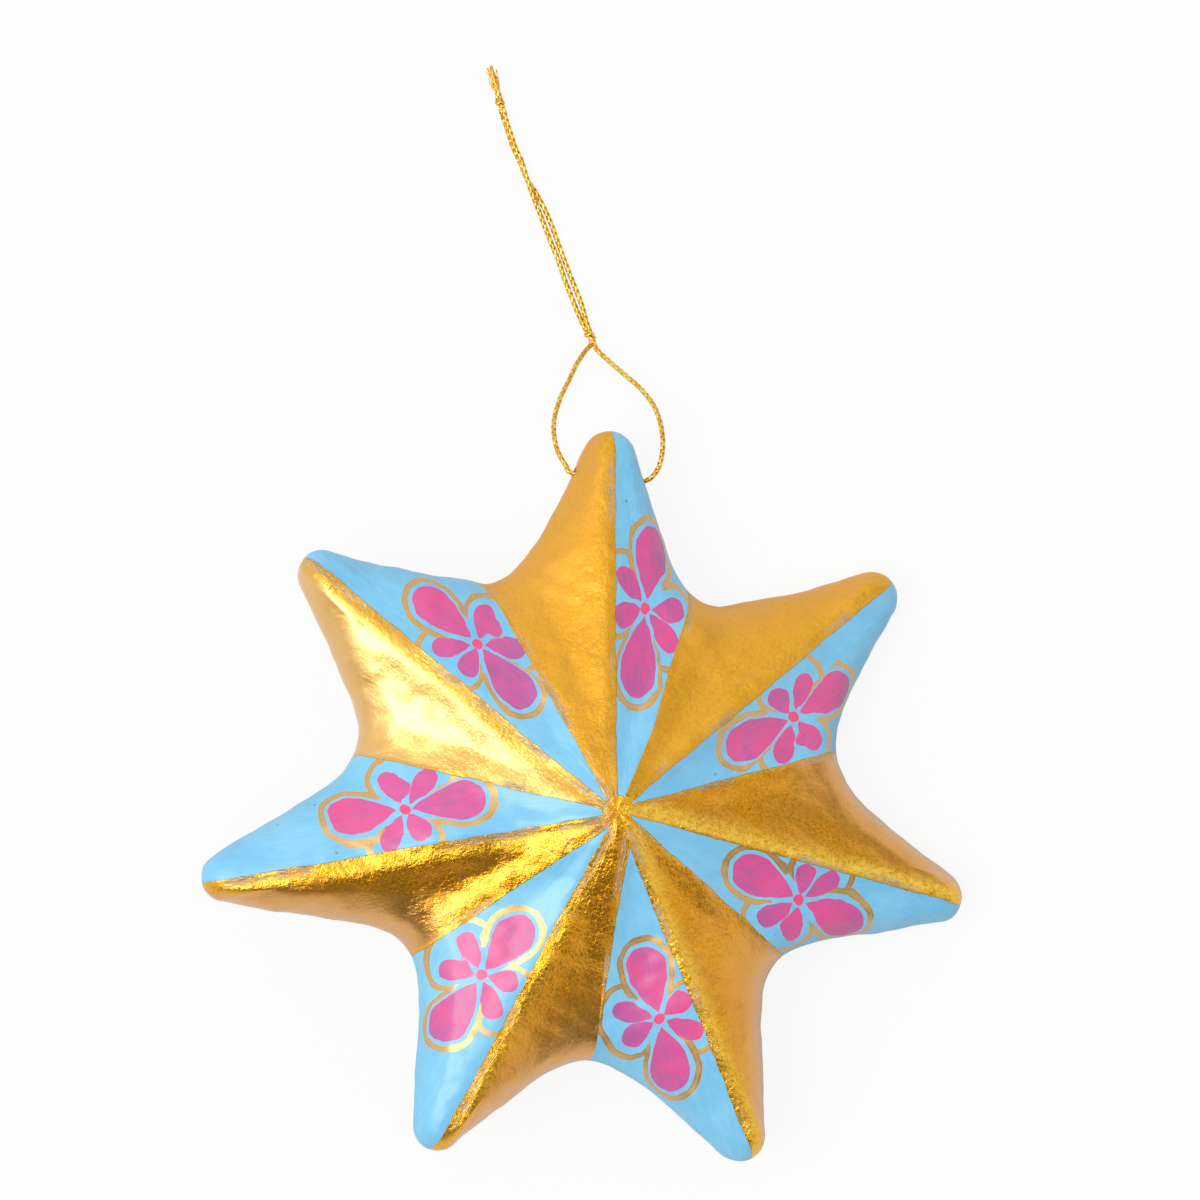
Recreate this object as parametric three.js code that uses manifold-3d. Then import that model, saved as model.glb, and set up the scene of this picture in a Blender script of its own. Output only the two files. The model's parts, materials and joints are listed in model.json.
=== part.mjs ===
// Papier mache star ornament with seven arms and a cord to hang it by.
// Millimetres, +Z up. The star lies on a table as it does in a photograph taken from straight above:
// tipped onto the peak of its back and the tips of its two right-hand arms, with the cord laid out past
// the top arm. The origin is on the table, under the middle of the star.

import * as THREE from 'three';
import { mergeVertices } from 'three/addons/utils/BufferGeometryUtils.js';
import Module from 'manifold-3d';

const wasm = await Module();
wasm.setup();

// Outline of the star in its own middle plane
const ARM_REACH = 58;
const NOTCH_REACH = 37;
const TIP_RADIUS = 3.85;
const FLANK_ANGLE = 24;
const FLANK_HANDLE = 13.5;
const LONGEST_HANDLE = 0.8;
const NOTCH_RADIUS = 6;
const TOP_ARM_BEARING = 88.3;

// The arms in turn, anticlockwise from the top one, and how far the hand that shaped them let each
// one stray from an even star: its turn in degrees, its reach, and the reach of the notch after it
const ARMS = [
  { name: 'top', turn: -1.3, reach: -1.6, notch: 0 },
  { name: 'upper_left', turn: 0.6, reach: -0.6, notch: 0.2 },
  { name: 'left', turn: -0.2, reach: 3.2, notch: -0.8 },
  { name: 'lower_left', turn: 0.8, reach: -0.1, notch: 1.0 },
  { name: 'lower_right', turn: 0.2, reach: -0.2, notch: -0.4 },
  { name: 'right', turn: 0.3, reach: 0.5, notch: 1.0 },
  { name: 'upper_right', turn: -0.8, reach: -0.9, notch: -2.0 },
];
const RESTING_ARMS = ['right', 'upper_right'];
const CORD_ARM = 'top';

// Relief of each face, as heights above the middle plane
const PEAK_HEIGHT = 17;
const TIP_HEIGHT = 4.6;
const NOTCH_HEIGHT = 3.9;
const PEAK_SOFTNESS = 3;
const RIDGE_SOFTNESS = 1;
const VALLEY_SOFTNESS = 0.8;
const FACET_HOLLOW = 0.4;
const RIM_ROUNDNESS = 0.95;

// Paper: the two half shells and the strip pasted round their seam
const WALL = 2.2;
const SEAM_GAP = 0.3;
const STRIP_WIDTH = 4.8;
const STRIP_THICKNESS = 0.6;
const STRIP_CLEARANCE = 0.3;

// Cord, its two knots and the hole it is threaded through
const CORD_DIAMETER = 0.8;
const CORD_SIDES = 8;
const CORD_STEP = 2;
const CORD_GAP = 0.3;
const HOLE_CLEARANCE = 0.35;
const HOLE_FROM_TIP = 6.8;
const HOLE_SKEW = -3;
const HOLE_SIDES = 12;
const CORD_PROUD = 0.5;
const LEG_STRAIGHT = 0.8;
const KNOT_RADIUS = 0.95;
const KNOT_LENGTH = 2;
const KNOT_WRAPS = 3;
const KNOT_WRAP_DEPTH = 0.2;
const KNOT_SIDES = 14;
const LOWER_KNOT = { x: 1.35, y: 68.6, bearing: 111 };
const UPPER_KNOT = { x: -12.2, y: 103.6, bearing: 107 };

// How finely the shells are divided
const TIP_STEPS = 4;
const FLANK_STEPS = 6;
const RIM_ANGLES = [52, 70, 90];
const INNER_RIM_ANGLES = [45, 90];
const FACE_RINGS = [0.8, 0.6, 0.4, 0.2];
const INNER_RINGS = [0.66, 0.33];

const radians = THREE.MathUtils.degToRad;
const armPitch = 360 / ARMS.length;
const stripReach = STRIP_WIDTH / 2;
const rebateDepth = STRIP_THICKNESS + STRIP_CLEARANCE;

// Directions in the middle plane
function heading(degrees) {
  return new THREE.Vector2(Math.cos(radians(degrees)), Math.sin(radians(degrees)));
}

function leftOf(direction) {
  return new THREE.Vector2(-direction.y, direction.x);
}

// Each arm with its own bearing, reach and the notch on either side of it
function layOutArms() {
  const arms = ARMS.map((arm, index) => ({
    name: arm.name,
    bearing: TOP_ARM_BEARING + index * armPitch + arm.turn,
    reach: ARM_REACH + arm.reach,
    notchAfter: NOTCH_REACH + arm.notch,
  }));
  arms.forEach((arm, index) => {
    const before = arms[(index + arms.length - 1) % arms.length];
    const after = arms[(index + 1) % arms.length];
    const turnBefore = index === 0 ? -360 : 0;
    const turnAfter = index === arms.length - 1 ? 360 : 0;
    arm.along = heading(arm.bearing);
    arm.notches = [
      { side: -1, bearing: (before.bearing + turnBefore + arm.bearing) / 2, reach: before.notchAfter },
      { side: 1, bearing: (arm.bearing + after.bearing + turnAfter) / 2, reach: arm.notchAfter },
    ];
  });
  return arms;
}

const arms = layOutArms();

// A flank leaves the round tip on a straight line and swings round into the notch. The handle that
// keeps it straight ends short of the notch, at the latest at LONGEST_HANDLE of the way there.
function flankCurve(arm, notch) {
  const { along } = arm;
  const outward = leftOf(along).multiplyScalar(notch.side);
  const slope = radians(FLANK_ANGLE);
  const start = along.clone().multiplyScalar(arm.reach - TIP_RADIUS + TIP_RADIUS * Math.sin(slope))
    .addScaledVector(outward, TIP_RADIUS * Math.cos(slope));
  const line = along.clone().multiplyScalar(-Math.cos(slope)).addScaledVector(outward, Math.sin(slope));
  const inward = heading(notch.bearing);
  const toNotch = (notch.reach - start.dot(inward)) / line.dot(inward);
  const straightEnd = start.clone().addScaledVector(line, Math.min(FLANK_HANDLE, LONGEST_HANDLE * toNotch));
  const bottom = inward.clone().multiplyScalar(notch.reach);
  const rise = straightEnd.clone().sub(bottom).dot(inward);
  const bottomHandle = Math.sqrt(rise * NOTCH_RADIUS * 2 / 3);
  const bottomStart = bottom.clone().addScaledVector(leftOf(inward), -notch.side * bottomHandle);
  return new THREE.CubicBezierCurve(start, straightEnd, bottomStart, bottom);
}

// Outline points with the outline's own direction there, anticlockwise
function outlineSamples() {
  const samples = [];
  for (const arm of arms) {
    const [right, left] = arm.notches.map((notch) => flankCurve(arm, notch));
    for (let step = FLANK_STEPS; step > 0; step -= 1) {
      const t = step / FLANK_STEPS;
      samples.push({ point: right.getPoint(t), direction: right.getTangent(t).negate() });
    }
    const centre = arm.along.clone().multiplyScalar(arm.reach - TIP_RADIUS);
    for (let step = 0; step <= TIP_STEPS; step += 1) {
      const turn = (90 - FLANK_ANGLE) * (2 * step / TIP_STEPS - 1);
      const normal = heading(arm.bearing + turn);
      samples.push({ point: centre.clone().addScaledVector(normal, TIP_RADIUS), direction: leftOf(normal) });
    }
    for (let step = 1; step < FLANK_STEPS; step += 1) {
      const t = step / FLANK_STEPS;
      samples.push({ point: left.getPoint(t), direction: left.getTangent(t) });
    }
  }
  return samples;
}

// Each face is seven roofs that share the peak: a ridge that falls towards an arm's tip, and two
// slopes that fall from it to the valleys. Where two roofs on one side of the peak meet, the higher
// one shows.
function softened(distance, softness) {
  return Math.hypot(distance, softness) - softness;
}

function ridgeFall(arm) {
  return (PEAK_HEIGHT - TIP_HEIGHT) / softened(arm.reach, PEAK_SOFTNESS);
}

const evenArm = { reach: ARM_REACH };
const halfPitch = radians(armPitch / 2);
const notchFall = (PEAK_HEIGHT - NOTCH_HEIGHT) / softened(NOTCH_REACH, PEAK_SOFTNESS);
const slopeFall = (notchFall - ridgeFall(evenArm) * Math.cos(halfPitch)) / Math.sin(halfPitch);

function faceHeight(x, y) {
  const distance = Math.hypot(x, y);
  const shrink = distance > 0 ? softened(distance, PEAK_SOFTNESS) / distance : 0;
  const spot = new THREE.Vector2(x, y).multiplyScalar(shrink);
  const facing = arms.filter((arm) => spot.dot(arm.along) >= 0);
  const roofs = facing.map((arm) => {
    const across = softened(spot.cross(arm.along), RIDGE_SOFTNESS);
    return PEAK_HEIGHT - ridgeFall(arm) * spot.dot(arm.along) - slopeFall * across;
  });
  roofs.sort((a, b) => b - a);
  const [highest, next] = roofs;
  const meeting = (highest + next + Math.hypot(highest - next, VALLEY_SOFTNESS)) / 2;
  return meeting - hollowDepth(x, y) - VALLEY_SOFTNESS / 2 * (1 - Math.min(1, distance / NOTCH_REACH));
}

// Between ridge and valley each facet is pressed in a little
function hollowDepth(x, y) {
  const bearing = THREE.MathUtils.radToDeg(Math.atan2(y, x)) - TOP_ARM_BEARING;
  const fromRidge = THREE.MathUtils.euclideanModulo(bearing, armPitch) / armPitch;
  const outward = Math.min(1, Math.hypot(x, y) / ARM_REACH);
  return FACET_HOLLOW * Math.sin(2 * Math.PI * fromRidge) ** 2 * Math.sin(Math.PI * outward);
}

// A column runs from the rim to the peak. Its tangent distance turns a depth measured square to the
// rim into a share of the way in, and its rim is rounded as wide as it is high.
const columns = outlineSamples().map(({ point, direction }) => ({
  x: point.x,
  y: point.y,
  tangentDistance: Math.abs(point.cross(direction)),
  rimWidth: RIM_ROUNDNESS * faceHeight(point.x, point.y),
}));

// A point of the rounded rim, depth below the outer skin, at an angle up from the middle plane
function rimPoint(column, depth, angle) {
  const inset = column.rimWidth - (column.rimWidth - depth) * Math.cos(radians(angle));
  const share = 1 - inset / column.tangentDistance;
  const x = column.x * share;
  const y = column.y * share;
  return new THREE.Vector3(x, y, (faceHeight(x, y) - depth) * Math.sin(radians(angle)));
}

// A point further in, a share of the way from the peak to where the rim's rounding ends
function facePoint(column, depth, share) {
  const reach = share * (1 - column.rimWidth / column.tangentDistance);
  const x = column.x * reach;
  const y = column.y * reach;
  return new THREE.Vector3(x, y, faceHeight(x, y) - depth);
}

// The angle at which the rounded rim is a given height above the middle plane
function angleAt(column, depth, height) {
  return THREE.MathUtils.radToDeg(Math.asin(height / (faceHeight(column.x, column.y) - depth)));
}

function levelled(point, height) {
  return point.setZ(height);
}

// Joins rows of points, one point per column, into a closed skin
function skin(rows, { peaks = null, ring = false }) {
  const positions = rows.flat();
  const count = columns.length;
  const index = [];
  const rowPairs = ring ? rows.length : rows.length - 1;
  for (let row = 0; row < rowPairs; row += 1) {
    const above = ((row + 1) % rows.length) * count;
    for (let column = 0; column < count; column += 1) {
      const next = (column + 1) % count;
      const corners = [row * count + column, row * count + next, above + column, above + next];
      index.push(corners[0], corners[1], corners[3], corners[0], corners[3], corners[2]);
    }
  }
  if (peaks) {
    const [first, last] = [positions.length, positions.length + 1];
    positions.push(...peaks);
    const lastRow = (rows.length - 1) * count;
    for (let column = 0; column < count; column += 1) {
      const next = (column + 1) % count;
      index.push(first, next, column);
      index.push(lastRow + column, lastRow + next, last);
    }
  }
  const geometry = new THREE.BufferGeometry().setFromPoints(positions);
  geometry.setIndex(index);
  return geometry;
}

// One hollow half of the star, on the front (side 1) or the back (side -1)
function halfShell(side) {
  const seam = SEAM_GAP / 2;
  const rebateTop = stripReach + STRIP_CLEARANCE;
  const rows = [
    ...INNER_RINGS.toReversed().map((share) => columns.map((c) => facePoint(c, WALL, share))),
    ...INNER_RIM_ANGLES.toReversed().map((angle) => columns.map((c) => rimPoint(c, WALL, angle))),
    columns.map((c) => levelled(rimPoint(c, WALL, 0), seam)),
    columns.map((c) => levelled(rimPoint(c, rebateDepth, 0), seam)),
    columns.map((c) => rimPoint(c, rebateDepth, angleAt(c, rebateDepth, rebateTop))),
    columns.map((c) => rimPoint(c, 0, angleAt(c, 0, rebateTop))),
    ...RIM_ANGLES.map((angle) => columns.map((c) => rimPoint(c, 0, angle))),
    ...FACE_RINGS.map((share) => columns.map((c) => facePoint(c, 0, share))),
  ];
  const peaks = [WALL, 0].map((depth) => new THREE.Vector3(0, 0, faceHeight(0, 0) - depth));
  const shell = skin(rows, { peaks });
  return side > 0 ? shell : mirrored(shell);
}

// Swaps front for back and turns the faces outward again
function mirrored(geometry) {
  geometry.scale(1, 1, -1);
  const index = Array.from(geometry.index.array);
  for (let corner = 0; corner < index.length; corner += 3) {
    [index[corner], index[corner + 1]] = [index[corner + 1], index[corner]];
  }
  return geometry.setIndex(index);
}

// The pasted strip lies in a rebate round the rim, flush with both shells
function seamStrip() {
  const outer = [-1, -0.5, 0, 0.5, 1];
  const inner = [1, 0, -1];
  const rows = [
    ...outer.map((share) => columns.map((c) => stripPoint(c, 0, share))),
    ...inner.map((share) => columns.map((c) => stripPoint(c, STRIP_THICKNESS, share))),
  ];
  return skin(rows, { ring: true });
}

function stripPoint(column, depth, share) {
  const point = rimPoint(column, depth, angleAt(column, depth, stripReach * Math.abs(share)));
  return point.setZ(point.z * Math.sign(share));
}

// Booleans
function toSolid(geometry) {
  const bare = geometry.clone();
  bare.deleteAttribute('normal');
  bare.deleteAttribute('uv');
  const merged = mergeVertices(bare, 1e-5);
  return new wasm.Manifold(new wasm.Mesh({
    numProp: 3,
    vertProperties: new Float32Array(merged.attributes.position.array),
    triVerts: new Uint32Array(merged.index.array),
  }));
}

function fromSolid(solid) {
  const { vertProperties, triVerts } = solid.getMesh();
  const geometry = new THREE.BufferGeometry();
  geometry.setAttribute('position', new THREE.BufferAttribute(vertProperties, 3));
  geometry.setIndex(new THREE.BufferAttribute(triVerts, 1));
  return geometry;
}

// The cord's hole crosses the top arm in the seam, from flank to flank
const cordArm = arms.find((arm) => arm.name === CORD_ARM);
const holeRight = leftOf(heading(cordArm.bearing + HOLE_SKEW)).negate();
const holeMiddle = cordArm.along.clone().multiplyScalar(cordArm.reach - HOLE_FROM_TIP);
const holeRadius = CORD_DIAMETER / 2 + HOLE_CLEARANCE;

// Where the line of the hole crosses the outline, to the right (1) or the left (-1)
function flankReach(side) {
  const crossings = columns.map((column, index) => {
    const next = columns[(index + 1) % columns.length];
    const from = new THREE.Vector2(column.x, column.y).sub(holeMiddle);
    const to = new THREE.Vector2(next.x, next.y).sub(holeMiddle);
    const [fromOff, toOff] = [from.cross(holeRight), to.cross(holeRight)];
    if (fromOff * toOff > 0) return Infinity;
    const reach = from.lerp(to, fromOff / (fromOff - toOff)).dot(holeRight) * side;
    return reach > 0 ? reach : Infinity;
  });
  return Math.min(...crossings);
}

function withHole(geometry) {
  const length = 2 * (flankReach(1) + flankReach(-1));
  const drill = new THREE.CylinderGeometry(holeRadius, holeRadius, length, HOLE_SIDES);
  drill.rotateZ(Math.atan2(holeRight.y, holeRight.x) - Math.PI / 2);
  drill.translate(holeMiddle.x, holeMiddle.y, 0);
  return fromSolid(toSolid(geometry).subtract(toSolid(drill)));
}

const frontHalf = withHole(halfShell(1));
const backHalf = withHole(halfShell(-1));
const strip = withHole(seamStrip());

// The table touches the back's peak and two tips: the plane through the lowest point of each, found
// from a first guess through the peak and the middles of the two tips
function restingPlane() {
  const points = [];
  const position = backHalf.attributes.position;
  for (let index = 0; index < position.count; index += 1) {
    points.push(new THREE.Vector3().fromBufferAttribute(position, index));
  }
  const tips = arms.filter((arm) => RESTING_ARMS.includes(arm.name));
  const zones = [
    points.filter((p) => Math.hypot(p.x, p.y) < NOTCH_REACH / 2),
    ...tips.map((arm) => points.filter((p) => p.x * arm.along.x + p.y * arm.along.y > NOTCH_REACH)),
  ];
  const down = new THREE.Vector3();
  const plane = new THREE.Plane();
  let lowest = [
    new THREE.Vector3(0, 0, -PEAK_HEIGHT),
    ...tips.map((arm) => new THREE.Vector3(arm.along.x * arm.reach, arm.along.y * arm.reach, -TIP_HEIGHT)),
  ];
  for (let pass = 0; pass < zones.length * 3; pass += 1) {
    plane.setFromCoplanarPoints(...lowest);
    down.copy(plane.normal).multiplyScalar(-Math.sign(plane.normal.z));
    lowest = zones.map((zone) => zone.reduce((a, b) => (b.dot(down) > a.dot(down) ? b : a)));
  }
  return down;
}

const star = new THREE.Group();
star.quaternion.setFromUnitVectors(restingPlane(), new THREE.Vector3(0, 0, -1));

const paper = {
  gold: { color: 0xd9a02b, roughness: 0.4, metalness: 0.8 },
  blue: { color: 0x7cc6ee, roughness: 0.5, metalness: 0 },
  bare: { color: 0xc9a368, roughness: 0.7, metalness: 0 },
};
const cordFinish = { color: 0xe0b030, roughness: 0.4, metalness: 0.6 };

function piece(name, geometry, finish) {
  const mesh = new THREE.Mesh(geometry, new THREE.MeshStandardMaterial(finish));
  mesh.name = name;
  return mesh;
}

star.add(piece('front_half_shell', frontHalf, paper.blue));
star.add(piece('back_half_shell', backHalf, paper.gold));
star.add(piece('rim_seam_strip', strip, paper.bare));

// Sets the star down on the table with the origin under its middle
function setDown(group) {
  group.updateMatrixWorld(true);
  const box = new THREE.Box3().setFromObject(group, true);
  const middle = box.getCenter(new THREE.Vector3());
  group.position.set(-middle.x, -middle.y, -box.min.z);
  group.updateMatrixWorld(true);
}

setDown(star);

// A point on the hole's line, so far to the right of its middle, on the table's axes
function onHoleLine(distance) {
  const spot = holeMiddle.clone().addScaledVector(holeRight, distance);
  return new THREE.Vector3(spot.x, spot.y, 0).applyMatrix4(star.matrixWorld);
}

// A cord's tube follows its route with a step every few diameters
function cordTube(route) {
  const curve = new THREE.CatmullRomCurve3(route, false, 'centripetal');
  const section = new THREE.Shape();
  for (let corner = 0; corner < CORD_SIDES; corner += 1) {
    const spot = heading(corner * 360 / CORD_SIDES).multiplyScalar(CORD_DIAMETER / 2);
    if (corner === 0) section.moveTo(spot.x, spot.y);
    else section.lineTo(spot.x, spot.y);
  }
  section.closePath();
  const steps = route.length > 2 ? Math.ceil(curve.getLength() / CORD_STEP) : 1;
  return new THREE.ExtrudeGeometry(section, { steps, bevelEnabled: false, extrudePath: curve });
}

// Knots: both strands go in side by side at one end and come out side by side at the other
function knotPoint(knot, ahead, aside) {
  const forward = heading(knot.bearing);
  const spot = new THREE.Vector2(knot.x, knot.y)
    .addScaledVector(forward, ahead)
    .addScaledVector(leftOf(forward), -aside);
  return new THREE.Vector3(spot.x, spot.y, KNOT_RADIUS);
}

const strandAside = (CORD_DIAMETER + CORD_GAP) / 2;
const knotFace = KNOT_LENGTH / 2 + CORD_GAP;

// Two points square to a knot's end face, for the strand to the right (1) or the left (-1)
function knotEnd(knot, end, side) {
  const near = knotPoint(knot, end * knotFace, side * strandAside);
  const far = knotPoint(knot, end * (knotFace + CORD_DIAMETER / 2), side * strandAside);
  return { near, far };
}

function knotSolid(knot) {
  const waist = KNOT_RADIUS - KNOT_WRAP_DEPTH;
  const profile = [new THREE.Vector2(0, -KNOT_LENGTH / 2)];
  const stepsPerWrap = 4;
  const steps = KNOT_WRAPS * stepsPerWrap;
  for (let step = 0; step <= steps; step += 1) {
    const bulge = Math.abs(Math.sin(Math.PI * step / stepsPerWrap)) * KNOT_WRAP_DEPTH;
    profile.push(new THREE.Vector2(waist + bulge, KNOT_LENGTH * (step / steps - 0.5)));
  }
  profile.push(new THREE.Vector2(0, KNOT_LENGTH / 2));
  const solid = new THREE.LatheGeometry(profile, KNOT_SIDES);
  solid.rotateZ(radians(knot.bearing - 90));
  solid.translate(knot.x, knot.y, KNOT_RADIUS);
  return solid;
}

// Routes of the free stretches, chosen by hand on the table's axes
const leftLegRoute = [
  [-3.4, 49.9, 14.2], [-4.1, 52.2, 13.5], [-4.3, 55.6, 12.0], [-3.7, 59.2, 9.6],
  [-2.4, 62.4, 6.7], [-0.9, 64.9, 3.9], [0.7, 66.4, 1.6],
];
const rightLegRoute = [
  [11.4, 48.6, 12.2], [12.1, 51.0, 11.9], [12.1, 54.3, 10.9], [11.2, 57.9, 9.0],
  [9.2, 60.8, 6.9], [6.6, 63.2, 4.6], [4.2, 65.3, 2.3],
];
const leftStrandRoute = [
  [-1.3, 74.1, 0.45], [-2.5, 77.1, 0.42], [-3.9, 80.8, 0.42], [-5.6, 84.0, 0.42], [-6.6, 86.7, 1.08],
  [-7.4, 89.4, 1.44], [-8.1, 92.1, 1.58], [-8.8, 94.8, 1.44], [-9.6, 97.5, 1.08], [-10.6, 100.2, 0.6],
];
const rightStrandRoute = [
  [-0.2, 74.5, 0.45], [-1.4, 77.5, 0.42], [-2.8, 81.2, 0.42], [-4.5, 84.4, 0.42], [-5.7, 87.0, 0.42],
  [-6.9, 89.6, 0.42], [-8.1, 92.1, 0.42], [-9.3, 94.6, 0.42], [-10.5, 97.2, 0.42], [-11.7, 99.9, 0.6],
];
const leftTailRoute = [[-13.5, 106.4, 0.6], [-14.2, 108.4, 0.42]];
const rightTailRoute = [[-12.4, 106.8, 0.6], [-12.9, 109.5, 0.42]];

function spots(route) {
  return route.map(([x, y, z]) => new THREE.Vector3(x, y, z));
}

// A leg comes straight out of the hole, droops to the table and runs into the lower knot
function legTube(side, route) {
  const start = flankReach(side) + CORD_PROUD + CORD_GAP;
  const out = [start, start + LEG_STRAIGHT].map((distance) => onHoleLine(side * distance));
  const end = knotEnd(LOWER_KNOT, -1, side);
  return cordTube([...out, ...spots(route), end.far, end.near]);
}

function strandTube(lowerSide, upperSide, route) {
  const from = knotEnd(LOWER_KNOT, 1, lowerSide);
  const to = knotEnd(UPPER_KNOT, -1, upperSide);
  return cordTube([from.near, from.far, ...spots(route), to.far, to.near]);
}

function tailTube(side, route) {
  const from = knotEnd(UPPER_KNOT, 1, side);
  return cordTube([from.near, from.far, ...spots(route)]);
}

function threadedTube() {
  return cordTube([-1, 1].map((side) => onHoleLine(side * (flankReach(side) + CORD_PROUD))));
}

const ornament = new THREE.Group();
ornament.add(star);
ornament.add(piece('cord_in_arm', threadedTube(), cordFinish));
ornament.add(piece('left_cord_leg', legTube(-1, leftLegRoute), cordFinish));
ornament.add(piece('right_cord_leg', legTube(1, rightLegRoute), cordFinish));
ornament.add(piece('lower_knot', knotSolid(LOWER_KNOT), cordFinish));
ornament.add(piece('left_strand', strandTube(-1, 1, leftStrandRoute), cordFinish));
ornament.add(piece('right_strand', strandTube(1, -1, rightStrandRoute), cordFinish));
ornament.add(piece('upper_knot', knotSolid(UPPER_KNOT), cordFinish));
ornament.add(piece('left_tail', tailTube(-1, leftTailRoute), cordFinish));
ornament.add(piece('right_tail', tailTube(1, rightTailRoute), cordFinish));

export default ornament;
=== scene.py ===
"""The looks of a papier mache star ornament with seven ridged arms, hung by a knotted braided cord.

Lengths named here are millimetres unless a name or a property says otherwise; Blender's own are metres.
"""

import functools
import json
import math

import bpy
import numpy as np
from mathutils import Matrix, Vector


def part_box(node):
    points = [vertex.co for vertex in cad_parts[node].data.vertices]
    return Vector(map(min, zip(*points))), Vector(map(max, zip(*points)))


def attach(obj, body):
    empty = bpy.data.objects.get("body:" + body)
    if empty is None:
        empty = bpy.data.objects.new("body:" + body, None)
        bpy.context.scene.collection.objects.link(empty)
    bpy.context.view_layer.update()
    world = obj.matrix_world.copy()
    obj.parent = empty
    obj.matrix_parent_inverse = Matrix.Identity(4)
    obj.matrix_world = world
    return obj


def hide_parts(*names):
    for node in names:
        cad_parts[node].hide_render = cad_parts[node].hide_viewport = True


bl_info = {
    "name": "Papier Mache Star Ornament",
    "version": (1, 0, 0),
    "blender": (4, 5, 0),
    "location": "3D View > Sidebar > Star",
    "description": "Moulded paper star with gold leaf, painted flowers and a braided metallic cord",
    "category": "Object",
}

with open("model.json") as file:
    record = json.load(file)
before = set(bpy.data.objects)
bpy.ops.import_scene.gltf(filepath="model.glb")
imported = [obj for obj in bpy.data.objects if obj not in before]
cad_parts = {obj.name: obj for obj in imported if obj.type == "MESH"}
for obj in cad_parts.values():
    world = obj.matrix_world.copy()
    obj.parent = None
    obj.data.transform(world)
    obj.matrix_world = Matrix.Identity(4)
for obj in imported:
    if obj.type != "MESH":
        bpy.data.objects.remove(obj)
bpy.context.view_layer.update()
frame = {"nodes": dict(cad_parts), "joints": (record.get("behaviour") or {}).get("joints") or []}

MM = 0.001
PHOTO_MM_PER_PIXEL = 0.15
PHOTO_PIXELS = 1200

# The moulded star, in its own middle plane: the outline, and heights above that plane
ARM_REACH = 58
NOTCH_REACH = 37
TIP_RADIUS = 3.85
FLANK_ANGLE = 24
FLANK_HANDLE = 13.5
NOTCH_RADIUS = 6
TOP_ARM_BEARING = 88.3
PEAK_HEIGHT = 17
TIP_HEIGHT = 4.6
NOTCH_HEIGHT = 3.9
PEAK_SOFTNESS = 3
RIDGE_SOFTNESS = 1
VALLEY_SOFTNESS = 0.8
FACET_HOLLOW = 0.4
RIM_ROUNDNESS = 0.95
PEAK_SHIFT = (-0.2, -1.55)
PEAK_PATCH_RADIUS = 2.4
WALL = 2.2
STRIP_WIDTH = 4.8
STRIP_THICKNESS = 0.6
STRIP_PROUD = 0.03
# The ledge under the strip's edges lies deeper than the strip is thick, to stay under the moulded skin
LEDGE_DEPTH = 0.95
HOLE_RADIUS = 0.75
DRILL_SIDES = 28
DRILL_PAST_ARM = 3

# Each arm, anticlockwise from the top one: how far it strays from an even star, as its turn in degrees,
# its reach and the reach of the notch after it, then where its paint lies. The blue ends along the ridge,
# so far left of the arm's middle line at the peak and RIDGE_EDGE_SPAN out from there, and along the
# valley, on the straight line through two places, each given along and left of the arm. The flower has its
# middle, along and left of the arm, its turn, and the stretch of its inner and outer long petal; the petals
# are the directions that its own ones point in, in the order of PETALS, as measured in the photograph.
# The swell is how far its left and its right flank bulge past an even curve. The shine is how its leaf
# looks in the photograph, from dull (-1), a flat ochre, to bright (1), a pale painted highlight laid into
# the leaf's colour.
RIDGE_EDGE_SPAN = 50
ARMS = [
    {"name": "top", "turn": -1.3, "reach": -2.0, "notch": -0.7, "ridge": (0.1, 0.0),
     "swell": (-0.2, -0.1), "shine": -1, "valley": ((14, -6.5), (31.6, -12.4)),
     "flower": (29.6, -5.0, 0, 1.26, 1.11), "petals": (-7, 171, 111, 38, 217, 270)},
    {"name": "upper_left", "turn": 0.6, "reach": -0.6, "notch": 0.5, "ridge": (1.4, -0.2),
     "swell": (0.1, 1.3), "shine": 1, "valley": ((14, -4.9), (32.6, -13.7)),
     "flower": (30.1, -5.9, 2, 1.07, 1.05), "petals": (-5, 166, 101, 44, 211, 289)},
    {"name": "left", "turn": -0.2, "reach": 3.2, "notch": -1.2, "ridge": (1.8, 0.6),
     "swell": (-0.5, -1.1), "shine": 0, "valley": ((14, -4.5), (35.1, -14.4)),
     "flower": (30.6, -4.8, 0, 1.09, 0.98), "petals": (-4, 178, 113, 53, 222, 285)},
    {"name": "lower_left", "turn": 0.8, "reach": -0.5, "notch": 1.3, "ridge": (0.5, 0.6),
     "swell": (0.0, 0.1), "shine": 0, "valley": ((14, -4.9), (33.5, -15.5)),
     "flower": (31.6, -5.5, -2, 0.96, 1.0), "petals": (-5, 170, 103, 45, 233, 288)},
    {"name": "lower_right", "turn": 0.2, "reach": 0.0, "notch": -0.4, "ridge": (-1.1, -0.2),
     "swell": (-0.1, 0.0), "shine": 0, "valley": ((14, -5.1), (34.7, -16.8)),
     "flower": (32.75, -5.7, 0, 1.0, 1.0), "petals": (-8, 173, 106, 45, 234, 281)},
    {"name": "right", "turn": 0.3, "reach": 0.5, "notch": 1.0, "ridge": (-1.7, -0.8),
     "swell": (-0.3, 0.3), "shine": 0, "valley": ((14, -6.9), (32.6, -14.8)),
     "flower": (32.6, -6.55, 0, 1.09, 1.0), "petals": (-9, 168, 95, 46, 222, 275)},
    {"name": "upper_right", "turn": -0.8, "reach": -0.9, "notch": -1.9, "ridge": (-1.4, -0.1),
     "swell": (0.0, -0.1), "shine": -1, "valley": ((14, -6.7), (33.8, -14.6)),
     "flower": (31.5, -6.7, 2, 1.12, 0.96), "petals": (-7, 168, 98, 34, 213, 276)},
]

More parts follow.
